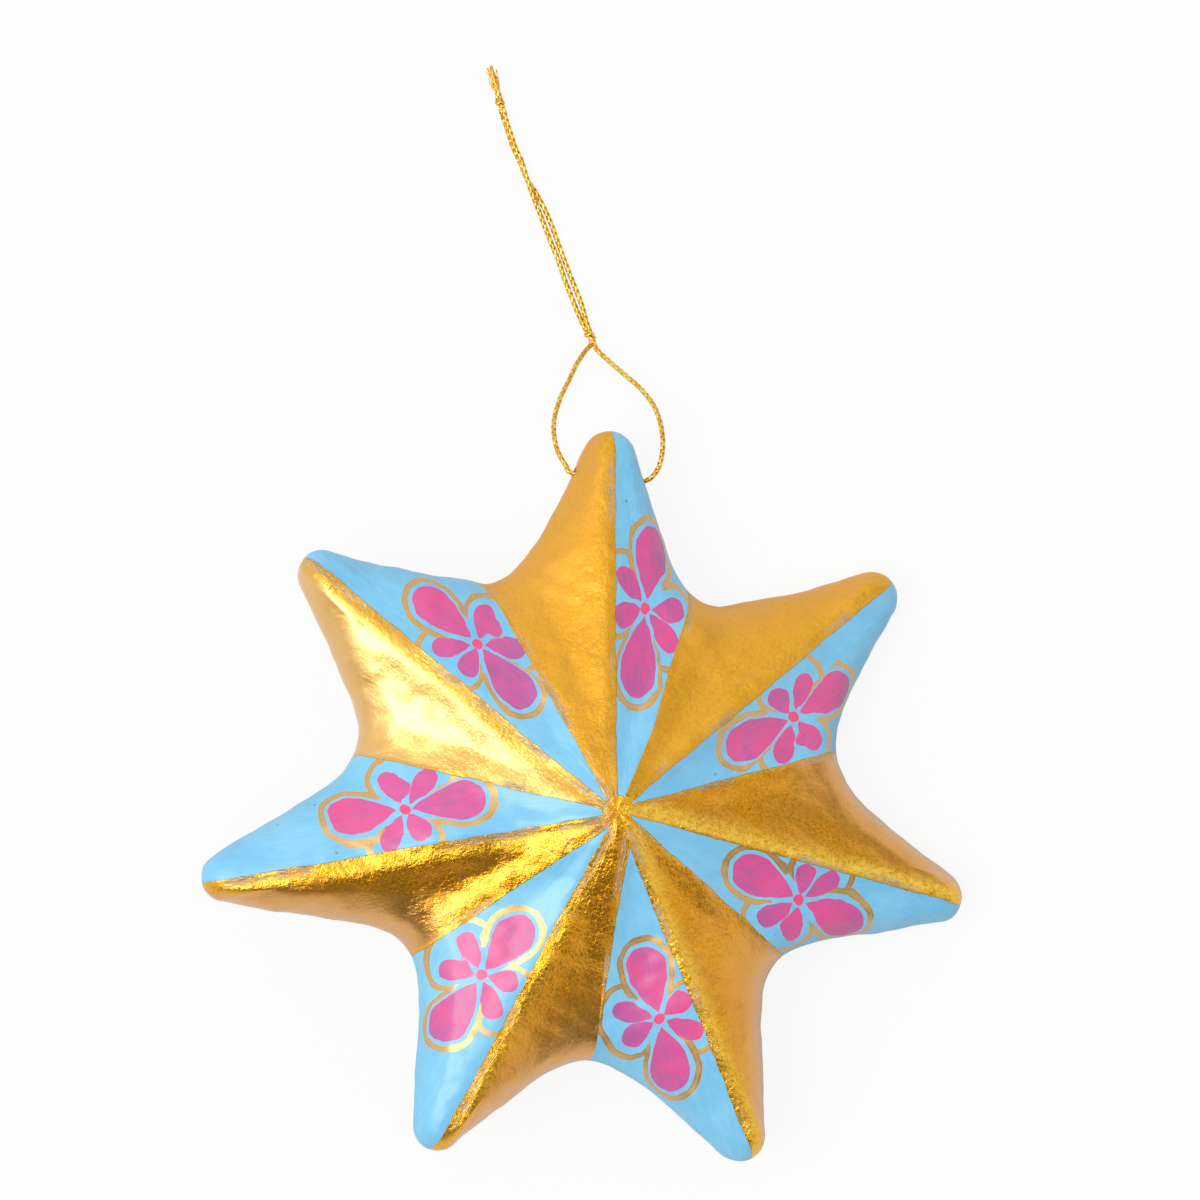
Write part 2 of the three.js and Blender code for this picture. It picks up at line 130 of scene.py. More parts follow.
# A flower's petals about its middle: the direction each points in, in degrees from the way out along
# the arm, how far from the middle it begins and ends, and its width
PETALS = [
    (-7, 1.2, 11.4, 5.6),
    (173, 0.9, 11.1, 5.8),
    (100, 0.7, 5.4, 3.3),
    (44, 1.0, 7.0, 3.1),
    (231, 1.0, 7.1, 3.1),
    (275, 0.9, 6.2, 3.3),
]
# A petal is turned as a whole this many degrees to either side of its own direction
PETAL_HOLD = 20
# The painted line goes round both long petals, given as petals are, and round each pair of short ones,
# given as an oval's middle and half sizes. Its ends stop short of the flower's middle.
LONG_LOBES = [(-6, -0.6, 12.4, 7.5), (173, -0.6, 12.2, 7.5)]
PAIR_LOBES = [(2.0, 4.5, 5.2, 4.2), (-1.7, -4.3, 5.3, 4.0)]
FLOWER_EYE_RADIUS = 0.78
LINE_HALF_WIDTH = 0.45
LINE_TAIL = 1.6
LINE_STOP = 4.2

# The crest of an arm, where the leaf's side is pressed flatter, and the hollow beside it: depth, place
# left of the leaf's edge, and spread to the right and to the left of that place
CREST_CUT = (0.95, -0.6, 5, 2.1)
CREST_HOLLOW = (0.4, 5.5, 2.6, 8)

# The arms whose crest carries a painted highlight, lighter yellow and less metallic than the rest of their
# leaf, as it looks in the photograph, and how strong it is, 0 to 1
PAINTED_CREST_HIGHLIGHTS = {"lower_right": 0.6, "right": 1.0}

# How finely the skin is divided
TIP_STEPS = 20
FLANK_STEPS = 44
RIM_STEPS = 18
FACE_STEPS = 90
STRIP_STEPS = 5
INNER_RIM_ANGLES = (45, 90)
INNER_RINGS = (0.66, 0.33)

# The moulding's waves: their share of its depth, about how far apart they are, and their seed. It fades
# out over this many rows at each peak.
MOULDING_WAVES = ((1, 16, 3), (0.32, 6, 4), (0.17, 2.6, 5))
PEAK_FADE_ROWS = 6

# A half shell's map for the bake: the radius and the middle of its outside and of its inside
OUTSIDE_MAP = (0.485, (0.5, 0.5))
INSIDE_MAP = (0.055, (0.06, 0.06))

# The cord: where its knots point, and the routes of its free stretches, lying as in the photograph
KNOT_LENGTH = 2
LOWER_KNOT_BEARING = 111
UPPER_KNOT_BEARING = 107
LEFT_LEG = [
    (-2.35, 49.3, 14.75), (-3.1, 50.5, 14.3), (-3.85, 52.2, 13.6), (-4.25, 55.6, 12.0), (-3.4, 59.2, 9.6),
    (-1.9, 62.4, 6.7), (-0.7, 64.9, 3.9), (0.4, 66.6, 2.1),
]
RIGHT_LEG = [
    (11.2, 48.6, 12.2), (12.0, 51.0, 11.9), (12.05, 54.3, 10.9), (11.0, 58.0, 9.0),
    (8.9, 60.9, 6.9), (6.2, 63.3, 4.6), (3.7, 65.5, 2.5), (2.1, 67.1, 1.5),
]
LEFT_STRAND = [
    (0.1, 70.8, 0.5), (-0.7, 72.6, 0.42), (-1.5, 74.6, 0.42), (-2.6, 77.4, 0.42), (-3.6, 80.4, 0.42),
    (-5.1, 84.1, 0.45), (-6.3, 87.3, 0.75), (-7.4, 90.1, 1.1), (-8.2, 92.4, 1.2), (-9.2, 95.5, 1.2),
    (-10.0, 97.2, 1.2), (-10.9, 99.9, 1.15), (-11.5, 101.7, 1.1),
]
RIGHT_STRAND = [
    (0.6, 71.3, 0.9), (0.0, 73.5, 0.55), (-0.9, 75.9, 0.42), (-2.1, 78.9, 0.42), (-3.4, 82.4, 0.42),
    (-4.8, 86.2, 0.42), (-5.8, 88.4, 0.42), (-7.0, 90.6, 0.42), (-8.2, 92.4, 0.42), (-9.5, 95.5, 0.42),
    (-10.3, 97.2, 0.42), (-11.2, 99.9, 0.42), (-11.8, 101.7, 0.5),
]
LEFT_TAIL = [(-12.75, 105.6, 0.5), (-12.95, 106.4, 0.42)]
RIGHT_TAIL = [(-12.6, 105.6, 1.15), (-12.75, 106.2, 1.1)]
CORD_RING_STEP = 0.08
CORD_SIDES = 32
CURVE_STEPS = 24
KNOT_TURN_STEPS = 40
FRAY_SEED = 7
FRAY_THREADS = 17
FRAY_THREAD_RADIUS = 0.065
FRAY_THREAD_SIDES = 6
FRAY_LENGTHS = (2.4, 3.9)

# Where the large lamp stands: degrees anticlockwise from the photograph's right, and degrees up. Its
# distance and its side are metres.
KEY_AZIMUTH = -165
KEY_ELEVATION = 72
KEY_DISTANCE = 1.7
KEY_SIDE = 0.85
KEY_WARMTH = 0.04

# What stands round the studio for the leaf to mirror: the middle of each, in degrees as for the lamp, and
# the cosines of how far from its middle it begins and is full
BACK_WALL = (135, 40, 0.3, 0.45)
LEFT_PANEL = (190, 50, 0.8, 0.97)
LOW_RIGHT_PANEL = (-12, 12, 0.83, 0.98)
HIGH_RIGHT_PANEL = (0, 54, 0.86, 0.96)
DARK_CARD = (285, 60, 0.88, 0.95)

# The place that the photograph's middle shows, and the level at which the picture is to scale, above the
# lowest point of the front half shell
PHOTO_MIDDLE = (2.7, 29.25)
PHOTO_LEVEL = 12


def linear(red, green, blue):
    """A colour as it is seen, 0 to 255, as Blender's linear numbers."""
    return tuple((v / 12.92 if v <= 0.04045 else ((v + 0.055) / 1.055) ** 2.4)
                 for v in (red / 255, green / 255, blue / 255))


# Settings that a user would change

class StarSettings(bpy.types.PropertyGroup):
    """Sizes and colours of the painted star"""

    moulding_depth: bpy.props.FloatProperty(
        name="Moulding depth", description="How far the hand-moulded skin strays from its even form",
        default=0.00022, min=0, max=0.001, unit="LENGTH", precision=5)
    leaf_crinkle: bpy.props.FloatProperty(
        name="Leaf crinkle", description="Height of the crinkles in the gold leaf",
        default=0.00016, min=0, max=0.001, unit="LENGTH", precision=5)
    wear: bpy.props.FloatProperty(
        name="Wear", description="How far the leaf's edges are rubbed through",
        default=0.65, min=0, max=1, subtype="FACTOR")
    blue: bpy.props.FloatVectorProperty(
        name="Blue", description="Sky blue paint", subtype="COLOR", size=3,
        default=linear(131, 203, 239), min=0, max=1)
    deep_blue: bpy.props.FloatVectorProperty(
        name="Deep blue", description="The blue where the brush left more paint", subtype="COLOR", size=3,
        default=linear(110, 190, 232), min=0, max=1)
    # The leaf's colour on the crest, lighter as a painted highlight, and off the crest, deeper as painted
    # shade in the hollows
    leaf: bpy.props.FloatVectorProperty(
        name="Gold leaf", description="Gold leaf where it lies bright", subtype="COLOR", size=3,
        default=linear(250, 185, 42), min=0, max=1)
    hollow_shade_leaf: bpy.props.FloatVectorProperty(
        name="Deep gold leaf", description="Gold leaf in its creases", subtype="COLOR", size=3,
        default=linear(238, 160, 16), min=0, max=1)
    petal: bpy.props.FloatVectorProperty(
        name="Petal", description="Pink of the petals", subtype="COLOR", size=3,
        default=linear(234, 76, 146), min=0, max=1)
    petal_shade: bpy.props.FloatVectorProperty(
        name="Petal shade", description="Violet that is brushed into the petals", subtype="COLOR", size=3,
        default=linear(178, 88, 158), min=0, max=1)
    eye: bpy.props.FloatVectorProperty(
        name="Flower eye", description="Hot pink dot in the middle of a flower", subtype="COLOR", size=3,
        default=linear(246, 70, 128), min=0, max=1)


class CordSettings(bpy.types.PropertyGroup):
    """Size and colours of the braided cord"""

    diameter: bpy.props.FloatProperty(
        name="Diameter", description="Thickness of the braid", default=0.0008, min=0.0004, max=0.003,
        unit="LENGTH", precision=4)
    carriers: bpy.props.IntProperty(
        name="Carriers", description="Threads that run each way round the braid", default=3, min=2, max=8)
    lead: bpy.props.FloatProperty(
        name="Lead", description="Length in which a thread goes once round", default=0.0031, min=0.001,
        max=0.02, unit="LENGTH", precision=4)
    bright: bpy.props.FloatVectorProperty(
        name="Bright thread", description="Metallic thread where it stands out", subtype="COLOR", size=3,
        default=linear(255, 228, 120), min=0, max=1)
    # The colour painted between the threads: painted shade where the threads dive under each other
    dark: bpy.props.FloatVectorProperty(
        name="Gap shade", description="The braid between its threads", subtype="COLOR", size=3,
        default=linear(120, 66, 8), min=0, max=1)


class StageSettings(bpy.types.PropertyGroup):
    """Floor, light and camera"""

    floor_size: bpy.props.FloatProperty(
        name="Floor size", description="Side of the square floor", default=60, min=1, unit="LENGTH")
    floor_white: bpy.props.FloatProperty(
        name="Floor white", description="Share of the floor's own white that the camera sees",
        default=0.9, min=0, max=1, subtype="FACTOR")
    key_power: bpy.props.FloatProperty(
        name="Key lamp", description="Brightness of the large lamp above and to the left, as radiance",
        default=5.9, min=0)
    back_wall: bpy.props.FloatProperty(
        name="Back wall", description="Brightness of the pale wall past the cord", default=0.88, min=0)
    left_panel: bpy.props.FloatProperty(
        name="Left panel", description="Brightness of the panel on the left", default=1.4, min=0)
    right_panel: bpy.props.FloatProperty(
        name="Right panel", description="Brightness of the panels on the right", default=0.9, min=0)
    dark_card: bpy.props.FloatProperty(
        name="Dark card", description="Share of the light let through by the card near the camera",
        default=0.3, min=0)
    ceiling: bpy.props.FloatProperty(
        name="Ceiling", description="Brightness of the studio overhead", default=0.95, min=0)
    room: bpy.props.FloatProperty(
        name="Room", description="Brightness of the studio's far walls", default=0.2, min=0)
    horizon: bpy.props.FloatProperty(
        name="Horizon", description="Brightness of the pale backdrop low round the star", default=0.6, min=0)
    camera_distance: bpy.props.FloatProperty(
        name="Camera distance", description="Height of the camera over the star", default=5, min=0.5,
        unit="LENGTH")


# Form of the star's skin, in millimetres

def softened(distance, softness):
    return np.hypot(distance, softness) - softness


def heading(degrees):
    return np.array([math.cos(math.radians(degrees)), math.sin(math.radians(degrees))])


def left_of(direction):
    return np.array([-direction[1], direction[0]])


def arm_pitch():
    return 360 / len(ARMS)


def arm_bearing(index):
    return TOP_ARM_BEARING + index * arm_pitch() + ARMS[index % len(ARMS)]["turn"]


def notch_after(index):
    """Bearing and reach of the notch between an arm and the next one anticlockwise."""
    following = arm_bearing(index + 1)
    if index % len(ARMS) == len(ARMS) - 1:
        following = arm_bearing(0) + 360 * round((index + 1) / len(ARMS))
    return (arm_bearing(index) + following) / 2, NOTCH_REACH + ARMS[index % len(ARMS)]["notch"]


def face_height(x, y):
    """Height of a face over the middle plane: seven roofs that share the peak."""
    distance = np.hypot(x, y)
    shrink = softened(distance, PEAK_SOFTNESS) / np.maximum(distance, 1e-9)
    half_pitch = math.radians(arm_pitch() / 2)
    even_fall = (PEAK_HEIGHT - TIP_HEIGHT) / softened(ARM_REACH, PEAK_SOFTNESS)
    notch_fall = (PEAK_HEIGHT - NOTCH_HEIGHT) / softened(NOTCH_REACH, PEAK_SOFTNESS)
    slope_fall = (notch_fall - even_fall * math.cos(half_pitch)) / math.sin(half_pitch)
    roofs = []
    for index, arm in enumerate(ARMS):
        along = heading(arm_bearing(index))
        ridge_fall = (PEAK_HEIGHT - TIP_HEIGHT) / softened(ARM_REACH + arm["reach"], PEAK_SOFTNESS)
        out = (x * along[0] + y * along[1]) * shrink
        aside = (x * along[1] - y * along[0]) * shrink
        roof = PEAK_HEIGHT - ridge_fall * out - slope_fall * softened(aside, RIDGE_SOFTNESS)
        roofs.append(np.where(out >= 0, roof, -PEAK_HEIGHT))
    following, highest = np.sort(np.stack(roofs), axis=0)[-2:]
    meeting = (highest + following + np.hypot(highest - following, VALLEY_SOFTNESS)) / 2
    from_ridge = np.mod(np.degrees(np.arctan2(y, x)) - TOP_ARM_BEARING, arm_pitch()) / arm_pitch()
    hollow = FACET_HOLLOW * np.sin(2 * np.pi * from_ridge) ** 2
    hollow = hollow * np.sin(np.pi * np.minimum(1, distance / ARM_REACH))
    return meeting - hollow - VALLEY_SOFTNESS / 2 * (1 - np.minimum(1, distance / NOTCH_REACH))


def crest_relief(x, y):
    """How much lower the moulded skin lies than the even form along the crests and beside them."""
    distance = np.hypot(x, y)
    relief = np.zeros_like(distance)
    for index in range(len(ARMS)):
        along = heading(arm_bearing(index))
        out = x * along[0] + y * along[1]
        left = y * along[0] - x * along[1]
        width = np.tan(np.radians(arm_pitch() / 2)) * np.maximum(out, 0.01)
        inside = (out > 0) & (np.abs(left) < width)
        past_edge = left - leaf_edge(ARMS[index]["ridge"], out)
        cut = dip(past_edge, *CREST_CUT) * rise(out, 4, 14)
        hollow = dip(past_edge, *CREST_HOLLOW)
        hollow = hollow * rise(out, 9, 18) * rise(out, ARM_REACH - 8, ARM_REACH - 22)
        relief = np.where(inside, (cut + hollow) * rise(width - np.abs(left), 0, 4), relief)
    return relief


def dip(value, depth, place, before, after):
    """Goes smoothly up to a depth at a place, and down again after it."""
    offset = value - place
    return depth * np.exp(-(offset / np.where(offset < 0, before, after)) ** 2)


def leaf_edge(ridge, out):
    """How far left of an arm's middle line the leaf begins, so far out along the arm."""
    near, far = ridge
    return near + (far - near) * out / RIDGE_EDGE_SPAN


def rise(value, low, high):
    """Goes smoothly from 0 to 1 while value goes from low to high."""
    share = np.clip((value - low) / (high - low), 0, 1)
    return share * share * (3 - 2 * share)


def bezier(corners, t):
    a, b, c, d = corners
    u = 1 - t
    spot = u ** 3 * a + 3 * u * u * t * b + 3 * u * t * t * c + t ** 3 * d
    slope = 3 * u * u * (b - a) + 6 * u * t * (c - b) + 3 * t * t * (d - c)
    return spot, slope / np.linalg.norm(slope)


def swollen(index, side, spot, slope, t):
    """A spot of a flank's curve, moved out by the flank's swell."""
    swell = ARMS[index]["swell"][0 if side > 0 else 1]
    return spot - side * left_of(slope) * swell * math.sin(math.pi * t ** 1.2) ** 2


def flank(index, side):
    """Corners of the curve from an arm's tip to the notch on its left (1) or right (-1)."""
    along = heading(arm_bearing(index))
    outward = left_of(along) * side
    bearing, reach = notch_after(index if side > 0 else index - 1)
    slope = math.radians(FLANK_ANGLE)
    tip = ARM_REACH + ARMS[index]["reach"] - TIP_RADIUS
    start = along * (tip + TIP_RADIUS * math.sin(slope)) + outward * TIP_RADIUS * math.cos(slope)
    straight_end = start + FLANK_HANDLE * (outward * math.sin(slope) - along * math.cos(slope))
    inward = heading(bearing)
    bottom = inward * reach
    past_notch = float(np.dot(straight_end - bottom, inward))
    handle = math.sqrt(past_notch * NOTCH_RADIUS * 2 / 3)
    return start, straight_end, bottom - side * handle * left_of(inward), bottom


@functools.lru_cache(maxsize=1)
def outline():
    """Points round the star, anticlockwise, and the distance from the middle to each point's tangent.
    Each arm's points begin at the notch on its right."""
    points = []
    for index in range(len(ARMS)):
        right, left = flank(index, -1), flank(index, 1)
        centre = heading(arm_bearing(index)) * (ARM_REACH + ARMS[index]["reach"] - TIP_RADIUS)
        for step in range(FLANK_STEPS, 0, -1):
            t = step / FLANK_STEPS
            points.append(swollen(index, -1, *bezier(right, t), t))
        for step in range(TIP_STEPS + 1):
            normal = heading(arm_bearing(index) + (90 - FLANK_ANGLE) * (2 * step / TIP_STEPS - 1))
            points.append(centre + TIP_RADIUS * normal)
        for step in range(1, FLANK_STEPS):
            t = step / FLANK_STEPS
            points.append(swollen(index, 1, *bezier(left, t), t))
    points = np.array(points)
    return points, np.abs(np.sum(points * outward_from(points), axis=1))


def outward_from(points):
    """The way out of a closed line of points, at each point."""
    tangents = np.roll(points, -1, axis=0) - np.roll(points, 1, axis=0)
    tangents /= np.linalg.norm(tangents, axis=1, keepdims=True)
    return np.column_stack([tangents[:, 1], -tangents[:, 0]])


COLUMNS_PER_ARM = 2 * FLANK_STEPS + TIP_STEPS


def rim_width():
    points, _ = outline()
    return RIM_ROUNDNESS * face_height(points[:, 0], points[:, 1])


def placed(share, depth, lift):
    """One row of the skin: a share of the way from the peak to the outline, so far under the skin.
    Lift is the sine of the rim's angle there, 1 on the face itself."""
    points, _ = outline()
    even = points * share[:, None]
    shifted = even + np.array(PEAK_SHIFT) * (1 - share[:, None])
    height = (face_height(even[:, 0], even[:, 1]) - depth) * lift
    if depth == 0:
        height = height - crest_relief(even[:, 0], even[:, 1]) * lift ** 4
    return np.column_stack([shifted, height])


def rim_row(angle, depth=0.0):
    """A row of the rounded rim, at an angle up from the middle plane, one for all columns or one each."""
    _, reach = outline()
    width = rim_width()
    angle = np.radians(np.broadcast_to(angle, width.shape))
    inset = width - (width - depth) * np.cos(angle)
    return placed(1 - inset / reach, depth, np.sin(angle))


def face_row(share, depth=0.0):
    _, reach = outline()
    return placed(share * (1 - rim_width() / reach), depth, np.ones_like(reach))


def angle_at(height, depth=0.0):
    """The rim's angle where it is a given height above the middle plane, for each column."""
    points, _ = outline()
    return np.degrees(np.arcsin(height / (face_height(points[:, 0], points[:, 1]) - depth)))


def waviness(spots, length, seed):
    """A smooth uneven field from -1 to 1 with bumps about a given length apart."""
    rng = np.random.default_rng(seed)
    waves = 22
    directions = rng.normal(size=(waves, 3))
    directions /= np.linalg.norm(directions, axis=1, keepdims=True)
    scales = 2 * np.pi / (length * rng.uniform(0.7, 1.5, waves))
    phases = rng.uniform(0, 2 * np.pi, waves)
    field = np.zeros(spots.shape[:-1])
    for direction, scale, phase in zip(directions, scales, phases):
        field += np.sin(spots @ (direction * scale) + phase)
    return field / math.sqrt(waves)


def grid_normals(grid):
    """Outward normals of a grid of rows and columns that closes on itself round the columns."""
    around = np.roll(grid, -1, axis=1) - np.roll(grid, 1, axis=1)
    up = np.gradient(grid, axis=0)
    normals = np.cross(around, up)
    return normals / np.maximum(np.linalg.norm(normals, axis=2, keepdims=True), 1e-12)


@functools.lru_cache(maxsize=1)
def skin_grid(moulding):
    """All rows of the outer skin from the back's peak to the front's, moulded by hand, and how far each
    point is from the seam along the skin. Row counts: face, rim, strip, strip, rim, face."""
    edge = angle_at(STRIP_WIDTH / 2)
    rows = [rim_row(edge * step / STRIP_STEPS) for step in range(STRIP_STEPS + 1)]
    rows += [rim_row(edge + (90 - edge) * step / RIM_STEPS) for step in range(1, RIM_STEPS + 1)]
    rows += [face_row(1 - step / FACE_STEPS) for step in range(1, FACE_STEPS)]
    half = np.stack(rows)
    mirrored = half[:0:-1] * np.array([1, 1, -1])
    grid = np.concatenate([mirrored, half])
    normals = grid_normals(grid)
    relief = sum(share * waviness(grid, length, seed) for share, length, seed in MOULDING_WAVES)
    fade = np.ones(len(grid))
    for step in range(PEAK_FADE_ROWS):
        fade[step] = fade[-1 - step] = step / PEAK_FADE_ROWS
    grid = grid + normals * (relief * moulding * fade[:, None])[..., None]
    steps = np.linalg.norm(np.diff(grid, axis=0), axis=2)
    travelled = np.concatenate([np.zeros((1, grid.shape[1])), np.cumsum(steps, axis=0)])
    middle = len(grid) // 2
    return grid, np.abs(travelled - travelled[middle])


def node_spots(name):
    """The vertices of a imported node, in metres."""
    mesh = frame["nodes"][name].data
    spots = np.zeros(len(mesh.vertices) * 3)
    mesh.vertices.foreach_get("co", spots)
    return spots.reshape(-1, 3)


def seat():
    """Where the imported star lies: the matrix from its own frame to the table's, worked out from the
    peaks of its two half shells."""
    half = {side: node_spots(f"{side}_half_shell") for side in ("front", "back")}
    normal = half["front"].mean(0) - half["back"].mean(0)
    normal /= np.linalg.norm(normal)
    for _ in range(3):
        front = half["front"][np.argmax(half["front"] @ normal)]
        back = half["back"][np.argmin(half["back"] @ normal)]
        normal = (front - back) / np.linalg.norm(front - back)
    turn = Vector((0, 0, 1)).rotation_difference(Vector(normal))
    return Matrix.Translation(Vector((front + back) / 2)) @ turn.to_matrix().to_4x4()


# Meshes

def stitched(rows, columns, ring=False):
    """Quads between each row and the next, and from the last to the first in a ring."""
    count = rows if ring else rows - 1
    row, column = np.meshgrid(np.arange(count), np.arange(columns), indexing="ij")
    following_row, following = (row + 1) % rows, (column + 1) % columns
    quads = np.stack([
        row * columns + column, row * columns + following,
        following_row * columns + following, following_row * columns + column], axis=-1)
    return quads.reshape(-1, 4)


def fan(row_start, columns, peak, flip=False):
    column = np.arange(columns)
    following = (column + 1) % columns
    corners = [column + row_start, following + row_start, np.full(columns, peak)]
    return np.stack(corners[::-1] if flip else corners, axis=-1)


def arm_place(spots, arm):
    """Coordinates along and left of each face's own arm, in millimetres."""
    bearings = np.radians([arm_bearing(index) for index in range(len(ARMS))])[arm]
    cos, sin = np.cos(bearings), np.sin(bearings)
    return spots[..., 0] * cos + spots[..., 1] * sin, spots[..., 1] * cos - spots[..., 0] * sin


def laid_flat(spots, column, from_seam):
    """Spots with the rounded rim rolled out flat, so that nothing painted across it is stretched."""
    points, _ = outline()
    width = rim_width()[column]
    angle = np.minimum(from_seam / width, np.pi / 2)
    further = width * (np.pi / 2 - angle - np.cos(angle))
    flat = spots.copy()
    flat[:, :2] += outward_from(points)[column] * further[:, None]
    return flat


def petals_turned(x, y, arm):
    """Places in a flower, turned about its middle so that each of its petals comes where the even flower
    has that petal. Between two petals the turn goes over from one's to the other's."""
    way = np.degrees(np.arctan2(y, x))
    for index, entry in enumerate(ARMS):
        here = arm == index
        ways = []
        turns = []
        for own, (even, _, _, _) in zip(entry["petals"], PETALS):
            even = math.radians(even)
            stretch = entry["flower"][3 if math.cos(even) < 0 else 4]
            aim = math.degrees(math.atan2(math.sin(even), stretch * math.cos(even)))
            ways += [own - PETAL_HOLD, own + PETAL_HOLD]
            turns += [(aim - own + 180) % 360 - 180] * 2
        way[here] += np.interp(way[here], ways, turns, period=360)
    reach = np.hypot(x, y)
    return reach * np.cos(np.radians(way)), reach * np.sin(np.radians(way))


def paint_places(spots, arm, from_seam):
    """What the paint is laid out by, for each corner of each face: its place on its arm, how far it is
    past the ridge's and valley's paint edges and from the seam, its place in that arm's flower, the shine
    of that arm's leaf and of the arm's on its right, whose leaf comes across the valley, and how strong
    the highlight painted along that arm's crest is."""
    along, left = arm_place(spots, arm)
    ridge = np.array([a["ridge"] for a in ARMS])[arm]
    valley = np.array([a["valley"] for a in ARMS], float)[arm]
    flower = np.array([a["flower"] for a in ARMS])[arm]
    shine = np.array([a["shine"] for a in ARMS], float)
    painted_crest_highlight = np.array([PAINTED_CREST_HIGHLIGHTS.get(a["name"], 0) for a in ARMS], float)
    ridge_edge = leaf_edge((ridge[..., 0], ridge[..., 1]), along)
    near, far = valley[..., 0, :], valley[..., 1, :]
    slope = (far[..., 1] - near[..., 1]) / (far[..., 0] - near[..., 0])
    valley_edge = near[..., 1] + slope * (along - near[..., 0])
    square = np.cos(np.arctan(slope))
    dx, dy = along - flower[..., 0], left - flower[..., 1]
    turn = np.radians(flower[..., 2])
    x, y = petals_turned(dx * np.cos(turn) + dy * np.sin(turn), dy * np.cos(turn) - dx * np.sin(turn), arm)
    x = x / np.where(x < 0, flower[..., 3], flower[..., 4])
    return {
        "arm_place": np.stack([along, left, np.hypot(*(spots[..., :2] - PEAK_SHIFT).T)], axis=-1),
        "paint_edges": np.stack([left - ridge_edge, (left - valley_edge) * square, from_seam], axis=-1),
        "flower_place": np.stack([x, y, 0.0 * along], axis=-1),
        "leaf_shine": np.stack([shine[arm], shine[arm - 1], painted_crest_highlight[arm]], axis=-1),
    }


def new_object(name, data):
    piece = bpy.data.objects.new(name, data)
    bpy.context.scene.collection.objects.link(piece)
    return piece


def mesh_from(name, spots, faces, materials):
    mesh = bpy.data.meshes.new(name)
    mesh.from_pydata(spots.tolist(), [], [face.tolist() for block in faces for face in block])
    mesh.validate()
    for material in materials:
        mesh.materials.append(material)
    mesh.polygons.foreach_set("use_smooth", [True] * len(mesh.polygons))
    return mesh


def corner_values(mesh, name, values):
    layer = mesh.attributes.new(name, "FLOAT_VECTOR", "CORNER")
    layer.data.foreach_set("vector", np.ascontiguousarray(values, np.float32).ravel())


def corners_of(mesh):
    """For each corner of the mesh, the vertex there and the face it belongs to."""
    vertices = np.zeros(len(mesh.loops), np.int32)
    mesh.loops.foreach_get("vertex_index", vertices)
    totals = np.zeros(len(mesh.polygons), np.int32)
    mesh.polygons.foreach_get("loop_total", totals)
    return vertices, np.repeat(np.arange(len(totals)), totals)


def lay_out_paint(mesh, spots, columns, from_seam):
    """Stores on a mesh of the skin what its paint is laid out by. Gives the vertex at each corner, the
    face it belongs to and that face's arm."""
    vertices, face_of = corners_of(mesh)
    arm = (face_of % columns) // COLUMNS_PER_ARM
    flat = laid_flat(spots[vertices], vertices % columns, from_seam[vertices])
    for name, values in paint_places(flat, arm, from_seam[vertices]).items():
        corner_values(mesh, name, values)
    return vertices, face_of, arm


def bake_map(mesh, flat):
    layer = mesh.uv_layers.new(name="OFBake")
    layer.data.foreach_set("uv", np.ascontiguousarray(flat, np.float32).ravel())


def half_shell(side, settings, materials):
    """One hollow half of the star as a closed mesh: a finely moulded outside, the rebate for the strip
    and a plain inside."""
    grid, from_seam = skin_grid(settings.moulding_depth / MM)
    columns = grid.shape[1]
    middle = len(grid) // 2
    if side > 0:
        outer, seam_distance = grid[middle + STRIP_STEPS:], from_seam[middle + STRIP_STEPS:]
    else:
        outer = grid[middle - STRIP_STEPS::-1]
        seam_distance = from_seam[middle - STRIP_STEPS::-1]
    flip = np.array([1, 1, side])
    edge = angle_at(STRIP_WIDTH / 2, STRIP_THICKNESS)
    hidden = [rim_row(edge, LEDGE_DEPTH), rim_row(0, STRIP_THICKNESS), rim_row(0, WALL)]
    hidden += [rim_row(angle, WALL) for angle in INNER_RIM_ANGLES]
    hidden += [face_row(share, WALL) for share in INNER_RINGS]
    inner = np.stack(hidden) * flip
    rows = np.concatenate([outer[::-1], inner])
    shift = np.array([*PEAK_SHIFT, 0.0])
    peak = float(face_height(np.zeros(1), np.zeros(1))[0])
    peaks = np.array([[0, 0, peak * side], [0, 0, (peak - WALL) * side]]) + shift
    spots = np.concatenate([rows.reshape(-1, 3), peaks])
    quads = stitched(len(rows), columns)
    top = fan(0, columns, len(rows) * columns, flip=True)
    bottom = fan((len(rows) - 1) * columns, columns, len(rows) * columns + 1)
    faces = [quads, top, bottom]
    if side > 0:
        faces = [block[:, ::-1] for block in faces]
    mesh = mesh_from("half_shell", spots * MM, faces, materials)
    outer_quads = (len(outer) - 1) * columns
    inside = np.ones(len(mesh.polygons), np.int32)
    inside[:outer_quads] = 0
    inside[len(quads):len(quads) + columns] = 0
    mesh.polygons.foreach_set("material_index", inside)
    distance = np.zeros(len(spots))
    distance[:seam_distance.size] = seam_distance[::-1].ravel()
    distance[-2] = seam_distance[-1].mean()
    vertices, face_of, _ = lay_out_paint(mesh, spots, columns, distance)
    normals = np.zeros((len(spots), 3))
    outside = grid_normals(grid)
    outside = outside[middle + STRIP_STEPS:] if side > 0 else outside[middle - STRIP_STEPS::-1]
    normals[:seam_distance.size] = outside[::-1].reshape(-1, 3)
    corner_values(mesh, "skin_normal", normals[vertices] * (inside[face_of] == 0)[:, None])
    flat_all = flat_map_of_rows(rows, peaks, len(outer))
    bake_map(mesh, flat_all[vertices])
    return mesh


